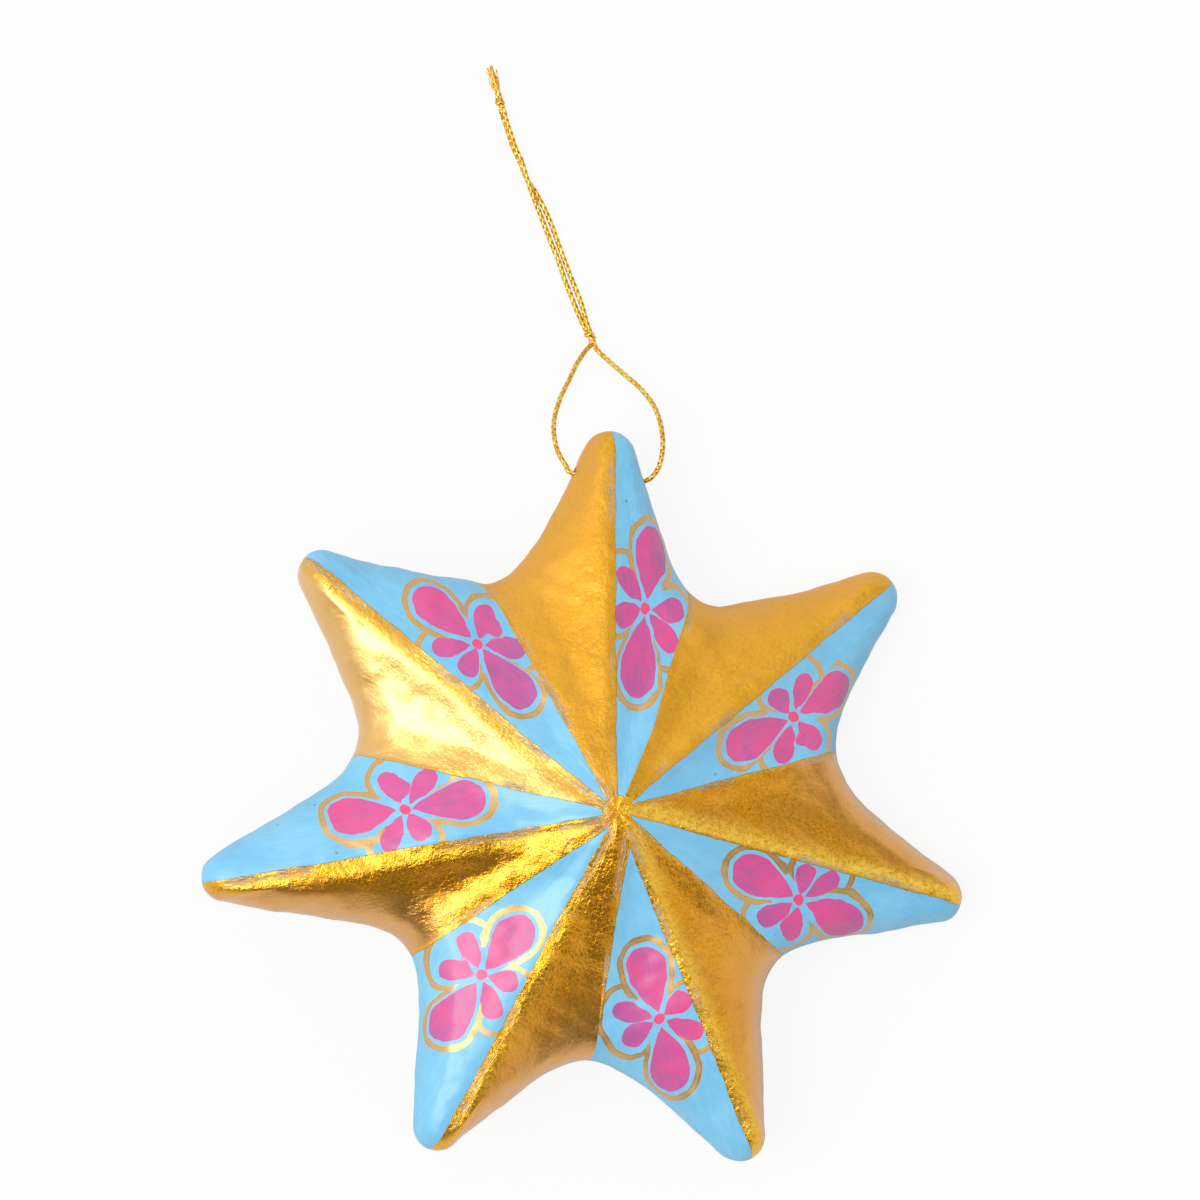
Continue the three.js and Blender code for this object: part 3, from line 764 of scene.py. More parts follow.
def flat_map_of_rows(rows, peaks, outer_rows):
    """Places for the bake: the outside as one large star, the inside as a small one beside it."""
    points, _ = outline()
    direction = points / np.linalg.norm(points, axis=1, keepdims=True)
    blocks = []
    for part, peak, (size, middle) in (
            (rows[:outer_rows], peaks[0], OUTSIDE_MAP), (rows[outer_rows:][::-1], peaks[1], INSIDE_MAP)):
        from_peak = np.linalg.norm(part[0] - peak, axis=1)
        steps = np.linalg.norm(np.diff(part, axis=0), axis=2)
        reach = np.concatenate([from_peak[None], from_peak + np.cumsum(steps, axis=0)])
        flat = np.array(middle) + direction[None] * reach[..., None] * size / reach.max()
        blocks.append(flat)
    outside, inside = blocks[0], blocks[1][::-1]
    return np.concatenate([outside.reshape(-1, 2), inside.reshape(-1, 2), [OUTSIDE_MAP[1], INSIDE_MAP[1]]])


def seam_strip(settings, materials):
    """The strip pasted round the seam, a hair proud of the shells and thinned towards its edges."""
    grid, from_seam = skin_grid(settings.moulding_depth / MM)
    columns = grid.shape[1]
    middle = len(grid) // 2
    band = slice(middle - STRIP_STEPS, middle + STRIP_STEPS + 1)
    outer = grid[band].copy()
    thickness = 1 - (np.abs(np.arange(-STRIP_STEPS, STRIP_STEPS + 1)) / STRIP_STEPS) ** 4
    outer += grid_normals(grid)[band] * (thickness * STRIP_PROUD)[:, None, None]
    edge = angle_at(STRIP_WIDTH / 2, STRIP_THICKNESS)
    under = rim_row(edge, LEDGE_DEPTH)
    inner = np.stack([under, rim_row(0, STRIP_THICKNESS), under * np.array([1, 1, -1])])
    rows = np.concatenate([outer, inner])
    spots = rows.reshape(-1, 3)
    mesh = mesh_from("seam_strip", spots * MM, [stitched(len(rows), columns, ring=True)], materials)
    hidden = np.arange(len(mesh.polygons)) >= (len(outer) - 1) * columns
    mesh.polygons.foreach_set("material_index", hidden.astype(np.int32))
    distance = np.zeros(len(spots))
    distance[:outer.shape[0] * columns] = from_seam[band].ravel()
    vertices, face_of, arm = lay_out_paint(mesh, spots, columns, distance)
    normals = np.zeros((len(spots), 3))
    normals[:outer.shape[0] * columns] = grid_normals(grid)[band].reshape(-1, 3)
    corner_values(mesh, "skin_normal", normals[vertices] * ~hidden[face_of][:, None])
    row_of, column_of = vertices // columns, vertices % columns
    past_end = (face_of % columns == columns - 1) & (column_of == 0)
    column_of = np.where(past_end, columns, column_of) - arm * COLUMNS_PER_ARM
    wrapped = (face_of // columns == len(rows) - 1) & (row_of == 0)
    row_of = np.where(wrapped, len(rows), row_of)
    lane = 1 / len(ARMS)
    bake_map(mesh, np.column_stack([
        0.02 + 0.96 * column_of / COLUMNS_PER_ARM, lane * (arm + 0.06 + 0.88 * row_of / len(rows))]))
    return mesh


def drilled(piece, start, end, radius, material):
    """Cuts the cord's hole through a piece, along a line on the table's axes, in metres."""
    axis = (end - start).normalized()
    turn = Vector((0, 0, 1)).rotation_difference(axis).to_matrix()
    rings = []
    for centre in (start, end):
        for side in range(DRILL_SIDES):
            angle = 2 * math.pi * side / DRILL_SIDES
            rings.append(centre + turn @ Vector((math.cos(angle) * radius, math.sin(angle) * radius, 0)))
    faces = []
    for side in range(DRILL_SIDES):
        following = (side + 1) % DRILL_SIDES
        faces.append([side, following, DRILL_SIDES + following, DRILL_SIDES + side])
    faces += [list(range(DRILL_SIDES))[::-1], list(range(DRILL_SIDES, 2 * DRILL_SIDES))]
    mesh = bpy.data.meshes.new("drill")
    mesh.from_pydata([tuple(p) for p in rings], [], faces)
    mesh.materials.append(material)
    drill = new_object("drill", mesh)
    cut = piece.modifiers.new("hole", "BOOLEAN")
    cut.operation = "DIFFERENCE"
    cut.solver = "EXACT"
    cut.object = drill
    bpy.context.view_layer.update()
    graph = bpy.context.evaluated_depsgraph_get()
    result = bpy.data.meshes.new_from_object(
        piece.evaluated_get(graph), preserve_all_data_layers=True, depsgraph=graph)
    piece.modifiers.clear()
    piece.data = result
    bpy.data.objects.remove(drill)


# Nodes

class Net:
    """Adds nodes to a tree. A value given to one may be a number, a colour or another node's output."""

    def __init__(self, tree):
        self.tree = tree

    def node(self, kind, inputs=None, **settings):
        made = self.tree.nodes.new(kind)
        for name, value in settings.items():
            setattr(made, name, value)
        for name, value in (inputs or {}).items():
            self.set(made.inputs[name], value)
        return made

    def set(self, socket, value):
        if isinstance(value, bpy.types.NodeSocket):
            self.tree.links.new(value, socket)
        elif socket.type == "RGBA" and len(value) == 3:
            socket.default_value = (*value, 1)
        else:
            socket.default_value = value

    def math(self, operation, *values):
        made = self.node("ShaderNodeMath", operation=operation)
        for socket, value in zip(made.inputs, values):
            self.set(socket, value)
        return made.outputs[0]

    def vector(self, operation, *values, output=0):
        made = self.node("ShaderNodeVectorMath", operation=operation)
        sockets = [s for s in made.inputs if s.enabled]
        for socket, value in zip(sockets, values):
            self.set(socket, value)
        return made.outputs[output]

    def split(self, vector):
        return self.node("ShaderNodeSeparateXYZ", {0: vector}).outputs

    def join(self, x, y, z):
        return self.node("ShaderNodeCombineXYZ", {0: x, 1: y, 2: z}).outputs[0]

    def mix(self, share, first, second, blend="MIX"):
        made = self.node("ShaderNodeMix", data_type="RGBA", blend_type=blend)
        self.set(made.inputs[0], share)
        self.set(made.inputs[6], first)
        self.set(made.inputs[7], second)
        return made.outputs[2]

    def blend(self, share, first, second):
        """Mixes two numbers."""
        made = self.node("ShaderNodeMix", data_type="FLOAT")
        self.set(made.inputs[0], share)
        self.set(made.inputs[2], first)
        self.set(made.inputs[3], second)
        return made.outputs[0]

    def step(self, value, low, high, first=0.0, last=1.0):
        """Rises smoothly from first to last while value goes from low to high."""
        return self.node("ShaderNodeMapRange", {
            "Value": value, "From Min": low, "From Max": high, "To Min": first, "To Max": last,
        }, interpolation_type="SMOOTHSTEP").outputs[0]

    def noise(self, place, scale, detail=2.0, roughness=0.5, distortion=0.0):
        made = self.node("ShaderNodeTexNoise", {
            "Vector": place, "Scale": scale, "Detail": detail, "Roughness": roughness,
            "Distortion": distortion})
        return made.outputs[0]

    def noise_colour(self, place, scale, detail=2.0):
        return self.node("ShaderNodeTexNoise", {"Vector": place, "Scale": scale, "Detail": detail}).outputs[1]

    def attribute(self, name):
        return self.node("ShaderNodeAttribute", attribute_name=name).outputs["Vector"]

    def use(self, group, inputs):
        """Places a shared node group and gives its outputs."""
        made = self.node("ShaderNodeGroup", node_tree=group)
        for name, value in inputs.items():
            self.set(made.inputs[name], value)
        return made.outputs


def shared_group(name, inputs, outputs, fill):
    """A node group, built once. Inputs and outputs are (name, socket type, default) and (name, type)."""
    found = bpy.data.node_groups.get(name)
    if found:
        return found
    group = bpy.data.node_groups.new(name, "ShaderNodeTree")
    for label, kind, default in inputs:
        socket = group.interface.new_socket(label, in_out="INPUT", socket_type=kind)
        if default is not None:
            socket.default_value = default
    for label, kind in outputs:
        group.interface.new_socket(label, in_out="OUTPUT", socket_type=kind)
    net = Net(group)
    start = group.nodes.new("NodeGroupInput")
    end = group.nodes.new("NodeGroupOutput")
    results = fill(net, start.outputs)
    for label, value in results.items():
        net.set(end.inputs[label], value)
    return group


FLOAT, VECTOR, COLOUR = "NodeSocketFloat", "NodeSocketVector", "NodeSocketColor"


def petal_group():
    """How far a place is outside a petal, pointed near the flower's middle and round at its far end."""
    def fill(net, given):
        turn = net.math("MULTIPLY", given["Direction"], math.pi / 180)
        cos, sin = net.math("COSINE", turn), net.math("SINE", turn)
        x, y, _ = net.split(given["Place"])
        out = net.math("ADD", net.math("MULTIPLY", x, cos), net.math("MULTIPLY", y, sin))
        aside = net.math("SUBTRACT", net.math("MULTIPLY", y, cos), net.math("MULTIPLY", x, sin))
        length = net.math("SUBTRACT", given["Far"], given["Near"])
        share = net.math("DIVIDE", net.math("SUBTRACT", out, given["Near"]), length)
        held = net.math("MAXIMUM", share, 0.0)
        before = net.math("MULTIPLY", net.math("SUBTRACT", share, held), length)
        # Half the width at a share t of the length is the swell times t * sqrt(1 - t), at most at 2/3
        swell = net.math("MULTIPLY", given["Width"], 0.5 / (2 / 3 * math.sqrt(1 / 3)))
        square = net.math("MULTIPLY", swell, swell)
        squared_share = net.math("MULTIPLY", held, held)
        inner = net.math("MULTIPLY", net.math("MULTIPLY", squared_share, net.math(
            "SUBTRACT", 1.0, held)), square)
        value = net.math("MULTIPLY_ADD", aside, aside, net.math("MULTIPLY", before, before))
        value = net.math("SUBTRACT", value, inner)
        steep = net.math("SUBTRACT", net.math("MULTIPLY", held, 2.0), net.math(
            "MULTIPLY", squared_share, 3.0))
        steep = net.math("DIVIDE", net.math("MULTIPLY", steep, square), length)
        steep = net.math("SUBTRACT", net.math("MULTIPLY", before, 2.0), steep)
        twice = net.math("MULTIPLY", aside, 2.0)
        slope = net.math("SQRT", net.math("MULTIPLY_ADD", steep, steep, net.math("MULTIPLY", twice, twice)))
        return {"Distance": net.math("DIVIDE", value, net.math("MAXIMUM", slope, 0.4))}

    return shared_group("Petal distance", [
        ("Place", VECTOR, None), ("Direction", FLOAT, 0.0), ("Near", FLOAT, 1.0), ("Far", FLOAT, 10.0),
        ("Width", FLOAT, 5.0)], [("Distance", FLOAT)], fill)


def oval_distance(net, x, y, oval):
    """How far a place is outside an oval, given by its middle and half sizes."""
    middle_x, middle_y, half_x, half_y = oval
    across = net.math("MULTIPLY", net.math("SUBTRACT", x, middle_x), 1 / half_x)
    up = net.math("MULTIPLY", net.math("SUBTRACT", y, middle_y), 1 / half_y)
    value = net.math("MULTIPLY_ADD", across, across, net.math("MULTIPLY", up, up))
    steep_x, steep_y = net.math("MULTIPLY", across, 2 / half_x), net.math("MULTIPLY", up, 2 / half_y)
    slope = net.math("SQRT", net.math(
        "MULTIPLY_ADD", steep_x, steep_x, net.math("MULTIPLY", steep_y, steep_y)))
    return net.math("DIVIDE", net.math("SUBTRACT", value, 1.0), net.math("MAXIMUM", slope, 0.05))


def flower_group():
    """A six-petal flower: masks for its petals, its eye and the line painted round it."""
    def fill(net, given):
        petal = petal_group()

        def nearest(shapes):
            reach = None
            for direction, near, far, width in shapes:
                one = net.use(petal, {
                    "Place": given["Place"], "Direction": direction, "Near": near, "Far": far,
                    "Width": width})[0]
                reach = one if reach is None else net.math("MINIMUM", reach, one)
            return reach

        x, y, _ = net.split(given["Place"])
        petals = nearest(PETALS)
        long_lobes = nearest(LONG_LOBES)
        first, second = (oval_distance(net, x, y, oval) for oval in PAIR_LOBES)
        pairs = net.math("MINIMUM", first, second)
        from_middle = net.vector("LENGTH", net.join(x, y, 0.0), output=1)
        half = given["Line Half Width"]
        on_long = net.math("SUBTRACT", net.math("ABSOLUTE", long_lobes), half)
        on_pairs = net.math("SUBTRACT", net.math("ABSOLUTE", pairs), half)
        tail = net.step(pairs, -LINE_TAIL - 0.2, -LINE_TAIL)
        tail = net.math("MULTIPLY", tail, net.step(from_middle, LINE_STOP - 0.2, LINE_STOP + 0.2))
        apart = net.step(long_lobes, -0.1, 0.1)
        long_line = net.math("MULTIPLY", net.step(on_long, 0.08, -0.08), tail)
        pair_line = net.math("MULTIPLY", net.step(on_pairs, 0.08, -0.08), apart)
        pair_line = net.math("MULTIPLY", pair_line, net.step(from_middle, 2.6, 3.0))
        # The brush leaves more leaf at both sides of its stroke than in the middle
        middle = net.math("MAXIMUM", net.math("MULTIPLY", long_line, net.step(on_long, -0.1, -0.4)),
                          net.math("MULTIPLY", pair_line, net.step(on_pairs, -0.1, -0.4)))
        eye = net.math("SUBTRACT", from_middle, FLOWER_EYE_RADIUS)
        return {
            "Petals": net.step(petals, 0.06, -0.06),
            "Eye": net.step(eye, 0.06, -0.06),
            "Line": net.math("MAXIMUM", long_line, pair_line),
            "Line Middle": middle,
        }

    return shared_group("Six petal flower", [
        ("Place", VECTOR, None), ("Line Half Width", FLOAT, LINE_HALF_WIDTH)],
        [("Petals", FLOAT), ("Eye", FLOAT), ("Line", FLOAT), ("Line Middle", FLOAT)], fill)


def hand_wobble_group():
    """Moves a place about a little, as an unsteady brush does."""
    def fill(net, given):
        uneven = net.noise_colour(given["Position"], given["Scale"], 1.0)
        offset = net.vector("SUBTRACT", uneven, (0.5, 0.5, 0.5))
        moved = net.vector("SCALE", offset)
        net.set(moved.node.inputs["Scale"], given["Amount"])
        return {"Place": net.vector("ADD", given["Place"], moved)}

    return shared_group("Hand wobble", [
        ("Place", VECTOR, None), ("Position", VECTOR, None), ("Scale", FLOAT, 400.0),
        ("Amount", FLOAT, 0.6)], [("Place", VECTOR)], fill)


def brushed_paint_group():
    """Paint laid on with a soft brush: a colour that thins and thickens along the strokes."""
    def fill(net, given):
        x, y, _ = net.split(given["Place"])
        strokes = net.join(net.math("MULTIPLY", x, 0.35), net.math("MULTIPLY", y, 1.6), 0.0)
        streak = net.noise(strokes, 1.1, 3.0, 0.6, 0.4)
        cloud = net.noise(given["Position"], 90.0, 3.0, 0.55)
        depth = net.math("ADD", net.math("MULTIPLY", streak, 0.45), net.math("MULTIPLY", cloud, 0.75))
        share = net.step(depth, 0.42, 0.82)
        fine = net.noise(given["Position"], 1500.0, 2.0, 0.6)
        return {
            "Color": net.mix(share, given["Thin"], given["Thick"]),
            "Height": net.math("ADD", net.math("MULTIPLY", streak, 0.6), net.math("MULTIPLY", fine, 0.4)),
        }

    return shared_group("Brushed paint", [
        ("Place", VECTOR, None), ("Position", VECTOR, None), ("Thin", COLOUR, None), ("Thick", COLOUR, None),
    ], [("Color", COLOUR), ("Height", FLOAT)], fill)


def gold_leaf_group():
    """Gold leaf over paper: fine grains where it crinkles, with painted highlight specks on their high spots
    and painted shade in the creases, a painted highlight on the crest and on the brightest arm, and more coat
    and a painted tan reflection near the rim. The height is in millimetres."""
    def fill(net, given):
        x, y, _ = net.split(given["Place"])
        strokes = net.join(net.math("MULTIPLY", x, 0.5), net.math("MULTIPLY", y, 2.6), 0.0)
        streak = net.noise(strokes, 1.0, 3.0, 0.65, 0.5)
        grain = net.noise(given["Position"], 1600.0, 3.0, 0.65, 0.6)
        folds = net.noise(given["Position"], 430.0, 3.0, 0.6, 0.6)
        cloud = net.noise(given["Position"], 130.0, 2.0, 0.5)
        crinkle, rim_satin_and_reflection = given["Crinkle"], given["Rim Satin And Reflection"]
        height = net.math("MULTIPLY", grain, net.math("MULTIPLY_ADD", crinkle, 0.11, 0.08))
        height = net.math("ADD", height, net.math("MULTIPLY", streak, 0.05))
        height = net.math("ADD", height, net.math(
            "MULTIPLY", folds, net.math("MULTIPLY_ADD", crinkle, 0.16, 0.09)))
        # Painted highlight and shade: the leaf takes its bright colour on the crest and its deep colour off
        # it, in the hollows, mixed with a quarter of random cloudy tone
        shade = net.step(net.math("ADD", net.math("MULTIPLY", cloud, 0.7), net.math(
            "MULTIPLY", streak, 0.4)), 0.45, 0.72)
        shade = net.math("MULTIPLY_ADD", shade, 0.25, net.math("MULTIPLY", given["Depth"], 0.75))
        colour = net.mix(shade, given["Bright"], given["Deep"])
        dull, burnish_and_highlight = given["Dull"], given["Burnish And Highlight"]
        # Painted shade and mottles: dark brown painted shade in the leaf's creases on the grain's low spots
        # where it crinkles, and greyish mottles on the dull arms
        crease_shade_and_mottle_share = net.math("MULTIPLY_ADD", dull, 0.13, net.math("MULTIPLY_ADD", crinkle, 0.16, 0.03))
        crease_shade_and_mottles = net.math("MULTIPLY", net.step(grain, 0.5, 0.38), crease_shade_and_mottle_share)
        colour = net.mix(net.math("MULTIPLY", dull, 0.8), colour, linear(236, 172, 30))
        colour = net.mix(crease_shade_and_mottles, colour, net.mix(dull, linear(168, 96, 4), linear(176, 140, 76)))
        # Painted highlight: near-white yellow specks on the grain's high spots where the leaf crinkles
        painted_glints = net.math("MULTIPLY", net.step(grain, 0.56, 0.68), net.math(
            "MULTIPLY_ADD", crinkle, 0.16, 0.02))
        colour = net.mix(painted_glints, colour, linear(255, 226, 120))
        # Painted highlight: pale yellow laid into the leaf's colour on the brightest arm
        colour = net.mix(net.math("MULTIPLY", burnish_and_highlight, 0.6), colour, linear(255, 214, 120))
        # Painted reflection: tan laid into the leaf's colour near the rim, where the rounded rim mirrors the
        # pale room
        colour = net.mix(net.math("MULTIPLY", rim_satin_and_reflection, 0.55), colour, linear(216, 160, 92))
        height = net.math("MULTIPLY", height, net.math("MULTIPLY_ADD", dull, -0.2, 1.0))
        roughness = net.math("MULTIPLY_ADD", cloud, 0.1, net.math("MULTIPLY_ADD", crinkle, -0.07, 0.24))
        roughness = net.math("MULTIPLY_ADD", dull, 0.22, roughness)
        roughness = net.math("MULTIPLY_ADD", burnish_and_highlight, 0.12, roughness)
        coat = net.math("MULTIPLY_ADD", rim_satin_and_reflection, 0.4, net.math("MULTIPLY_ADD", crinkle, -0.4, 0.5))
        coat = net.math("MULTIPLY_ADD", burnish_and_highlight, 0.5, coat)
        coat = net.math("MULTIPLY", coat, net.math("MULTIPLY_ADD", dull, -0.6, 1.0))
        return {"Color": colour, "Height": height, "Roughness": roughness, "Coat": coat}

    return shared_group("Gold leaf", [
        ("Place", VECTOR, None), ("Position", VECTOR, None), ("Crinkle", FLOAT, 0.5), ("Rim Satin And Reflection", FLOAT, 0.0),
        ("Depth", FLOAT, 1.0), ("Dull", FLOAT, 0.0), ("Burnish And Highlight", FLOAT, 0.0), ("Bright", COLOUR, None),
        ("Deep", COLOUR, None),
    ], [("Color", COLOUR), ("Height", FLOAT), ("Roughness", FLOAT), ("Coat", FLOAT)], fill)


def edge_wear_group():
    """Where leaf ends: its ragged edge, and the worn streaks along it that let the paint through."""
    def fill(net, given):
        ragged = net.noise(given["Position"], 900.0, 3.0, 0.6)
        slow = net.noise(given["Position"], 200.0, 1.0, 0.5)
        edge = net.math("MULTIPLY_ADD", net.math("SUBTRACT", ragged, 0.5), 0.35, given["Distance"])
        edge = net.math("MULTIPLY_ADD", net.math("SUBTRACT", slow, 0.5), 0.6, edge)
        leaf = net.step(edge, -0.05, 0.05)
        x, _, _ = net.split(given["Place"])
        stripes = net.join(net.math("MULTIPLY", x, 0.22), net.math("MULTIPLY", edge, 2.6), 3.7)
        streak = net.noise(stripes, 1.2, 4.0, 0.7, 0.1)
        chance = net.noise(given["Position"], 100.0, 2.0, 0.5)
        near = net.math("MULTIPLY", net.step(edge, 1.9, 0.3), net.step(chance, 0.48, 0.62))
        rubbed = net.math("MULTIPLY", net.step(streak, 0.42, 0.66), near)
        return {"Leaf": leaf, "Rubbed": net.math("MULTIPLY", rubbed, given["Wear"])}

    return shared_group("Edge wear", [
        ("Distance", FLOAT, 0.0), ("Place", VECTOR, None), ("Position", VECTOR, None), ("Wear", FLOAT, 0.8),
    ], [("Leaf", FLOAT), ("Rubbed", FLOAT)], fill)


def specks_group():
    """Small scattered flecks of a given share and size."""
    def fill(net, given):
        cells = net.node("ShaderNodeTexVoronoi", {"Vector": given["Position"], "Scale": given["Scale"]})
        chance = net.split(cells.outputs["Color"])[0]
        chosen = net.math("LESS_THAN", chance, given["Share"])
        near = net.step(cells.outputs["Distance"], 0.28, 0.1)
        return {"Mask": net.math("MULTIPLY", chosen, near)}

    return shared_group("Specks", [
        ("Position", VECTOR, None), ("Scale", FLOAT, 500.0), ("Share", FLOAT, 0.03)],
        [("Mask", FLOAT)], fill)


def new_material(name):
    material = bpy.data.materials.get(name)
    if material:
        return material, None, None
    material = bpy.data.materials.new(name)
    material.use_nodes = True
    net = Net(material.node_tree)
    return material, net, material.node_tree.nodes["Principled BSDF"]


def painted_paper(settings):
    """Sky blue paint, gold leaf and flowers, laid out by the places stored on the skin."""
    material, net, shader = new_material("painted_paper")
    if net is None:
        return material
    position = net.node("ShaderNodeTexCoord").outputs["Object"]
    place = net.attribute("arm_place")
    from_peak = net.split(place)[2]
    past_ridge, past_valley, from_seam = net.split(net.attribute("paint_edges"))
    wobble = hand_wobble_group()
    flower_place = net.use(wobble, {
        "Place": net.attribute("flower_place"), "Position": position, "Scale": 420.0, "Amount": 0.75})[0]
    flower = net.use(flower_group(), {"Place": flower_place})
    in_gap = net.math("MULTIPLY", past_valley, -1.0)
    into_leaf = net.math("MAXIMUM", net.math("MAXIMUM", past_ridge, in_gap), net.math(
        "SUBTRACT", PEAK_PATCH_RADIUS, from_peak))
    wear = net.use(edge_wear_group(), {
        "Distance": into_leaf, "Place": place, "Position": position, "Wear": settings.wear})
    # The leaf lies smooth near the rim, away from the crest, and crinkles in the crest and the hollows
    off_crest = net.math("MAXIMUM", net.step(past_ridge, 1.6, 3.4), net.step(in_gap, 0.0, 0.8))
    smooth = net.math("MULTIPLY", net.step(from_seam, 19.0, 10.0), off_crest)
    patches = net.noise(position, 150.0, 2.0, 0.5)
    crinkle = net.math("SUBTRACT", net.math("MULTIPLY_ADD", patches, 2.0, -0.3), net.math(
        "MULTIPLY", smooth, 1.0))
    crinkle = net.math("MAXIMUM", net.math("MINIMUM", crinkle, 1.0), 0.1)
    # Near the rim and off the crest the leaf gets more coat and a painted tan reflection in its colour
    rim_satin_and_reflection = net.math("MULTIPLY", net.step(from_seam, 15.0, 3.0), off_crest)
    own, before, painted_crest_highlight = net.split(net.attribute("leaf_shine"))
    # Painted highlight along the crest of some arms, broken into flecks: lighter yellow leaf, less metallic
    flecks = net.noise(position, 1000.0, 4.0, 0.7, 0.8)
    flecks = net.math("ADD", net.step(flecks, 0.42, 0.56), net.math("MULTIPLY_ADD", patches, 0.8, -0.3))
    on_crest = net.math("MULTIPLY", net.step(past_ridge, 0.0, 0.5), net.step(past_ridge, 4.2, 1.2))
    painted_crest_highlight = net.math("MULTIPLY", painted_crest_highlight, on_crest)
    flecks = net.math("MAXIMUM", net.math("MINIMUM", flecks, 1.0), 0.3)
    painted_crest_highlight = net.math("MULTIPLY", painted_crest_highlight, flecks)
    shine = net.blend(net.math("GREATER_THAN", in_gap, 0.0), own, before)
    shine = net.math("MULTIPLY", shine, net.step(from_peak, 3.0, 9.0))
    dull = net.math("MAXIMUM", net.math("MULTIPLY", shine, -1.0), 0.0)
    # The bright arms get more coat and a pale painted highlight in the leaf's colour, less of it on the crest
    burnish_and_highlight = net.math("MULTIPLY", net.math("MAXIMUM", shine, 0.0), net.math(
        "MULTIPLY_ADD", off_crest, 0.65, 0.35))
    rim_satin_and_reflection = net.math("MULTIPLY", rim_satin_and_reflection, net.math("MULTIPLY_ADD", net.math("ABSOLUTE", shine), -0.65, 1.0))
    leaf = net.use(gold_leaf_group(), {
        "Place": place, "Position": position, "Bright": settings.leaf, "Deep": settings.hollow_shade_leaf,
        "Crinkle": crinkle, "Rim Satin And Reflection": rim_satin_and_reflection, "Depth": off_crest, "Dull": dull, "Burnish And Highlight": burnish_and_highlight})
    blue = net.use(brushed_paint_group(), {
        "Place": place, "Position": position, "Thin": settings.blue, "Thick": settings.deep_blue})
    petal = net.use(brushed_paint_group(), {
        "Place": net.vector("ADD", place, (40.0, 15.0, 0.0)), "Position": net.vector(
            "ADD", position, (0.2, 0.1, 0.0)), "Thin": settings.petal, "Thick": settings.petal_shade})
    paint = net.mix(flower["Petals"], blue["Color"], petal["Color"])
    paint = net.mix(flower["Eye"], paint, settings.eye)
    dark_specks = net.use(specks_group(), {"Position": position, "Scale": 900.0, "Share": 0.012})[0]
    paint = net.mix(net.math("MULTIPLY", dark_specks, 0.6), paint, linear(70, 100, 130))
    thin = net.noise(net.vector("MULTIPLY", place, (1.0, 1.0, 0.0)), 1.5, 3.0, 0.65)
    line = net.math("MULTIPLY", flower["Line"], net.step(thin, 0.3, 0.55, 0.75, 1.0))
    line = net.math("MULTIPLY", line, net.math("MULTIPLY_ADD", flower["Line Middle"], -0.22, 1.0))
    gold = net.math("MULTIPLY", wear["Leaf"], net.math("SUBTRACT", 1.0, wear["Rubbed"]))
    rubbed = net.mix(net.math("MULTIPLY", wear["Rubbed"], wear["Leaf"]), paint, linear(132, 134, 108))
    lined = net.mix(line, rubbed, linear(228, 168, 40))
    # The painted crest highlight: lighter yellow laid into the leaf's colour
    leaf_colour = net.mix(net.math("MULTIPLY", painted_crest_highlight, 0.8), leaf["Color"], linear(255, 210, 66))
    net.set(shader.inputs["Base Color"], net.mix(gold, lined, leaf_colour))
    metal = net.math("MAXIMUM", gold, net.math("MULTIPLY", line, 0.9))
    # Less metallic on the dull arms and under the painted crest highlight
    solid = net.math("MULTIPLY", net.math("MULTIPLY_ADD", dull, -0.3, 0.95), net.math(
        "MULTIPLY_ADD", painted_crest_highlight, -0.55, 1.0))
    net.set(shader.inputs["Metallic"], net.math("MULTIPLY", metal, solid))
    net.set(shader.inputs["Roughness"], net.blend(gold, net.blend(line, 0.5, 0.4), leaf["Roughness"]))
    leaf_height = net.math("MULTIPLY", leaf["Height"], settings.leaf_crinkle / (0.16 * MM))
    height = net.blend(gold, net.math("MULTIPLY", blue["Height"], 0.035), leaf_height)
    bump = net.node("ShaderNodeBump", {"Strength": 1.0, "Distance": MM, "Height": height})
    net.set(shader.inputs["Normal"], bump.outputs[0])
    net.set(shader.inputs["Coat Weight"], net.blend(gold, 0.25, leaf["Coat"]))
    shader.inputs["Specular IOR Level"].default_value = 0.6
    shader.inputs["Coat Roughness"].default_value = 0.28
    shader.inputs["Coat IOR"].default_value = 1.85
    return material


def paper_pulp():
    """Bare grey-brown pulp, seen only in the cord's hole."""
    material, net, shader = new_material("paper_pulp")
    if net is None:
        return material
    position = net.node("ShaderNodeTexCoord").outputs["Object"]
    fibres = net.noise(position, 900.0, 4.0, 0.7, 0.6)
    colour = net.mix(fibres, linear(150, 132, 108), linear(190, 174, 148))
    net.set(shader.inputs["Base Color"], colour)
    net.set(shader.inputs["Roughness"], net.math("MULTIPLY_ADD", fibres, 0.1, 0.82))
    bump = net.node("ShaderNodeBump", {"Strength": 0.6, "Distance": 0.0002, "Height": fibres})
    net.set(shader.inputs["Normal"], bump.outputs[0])
    return material


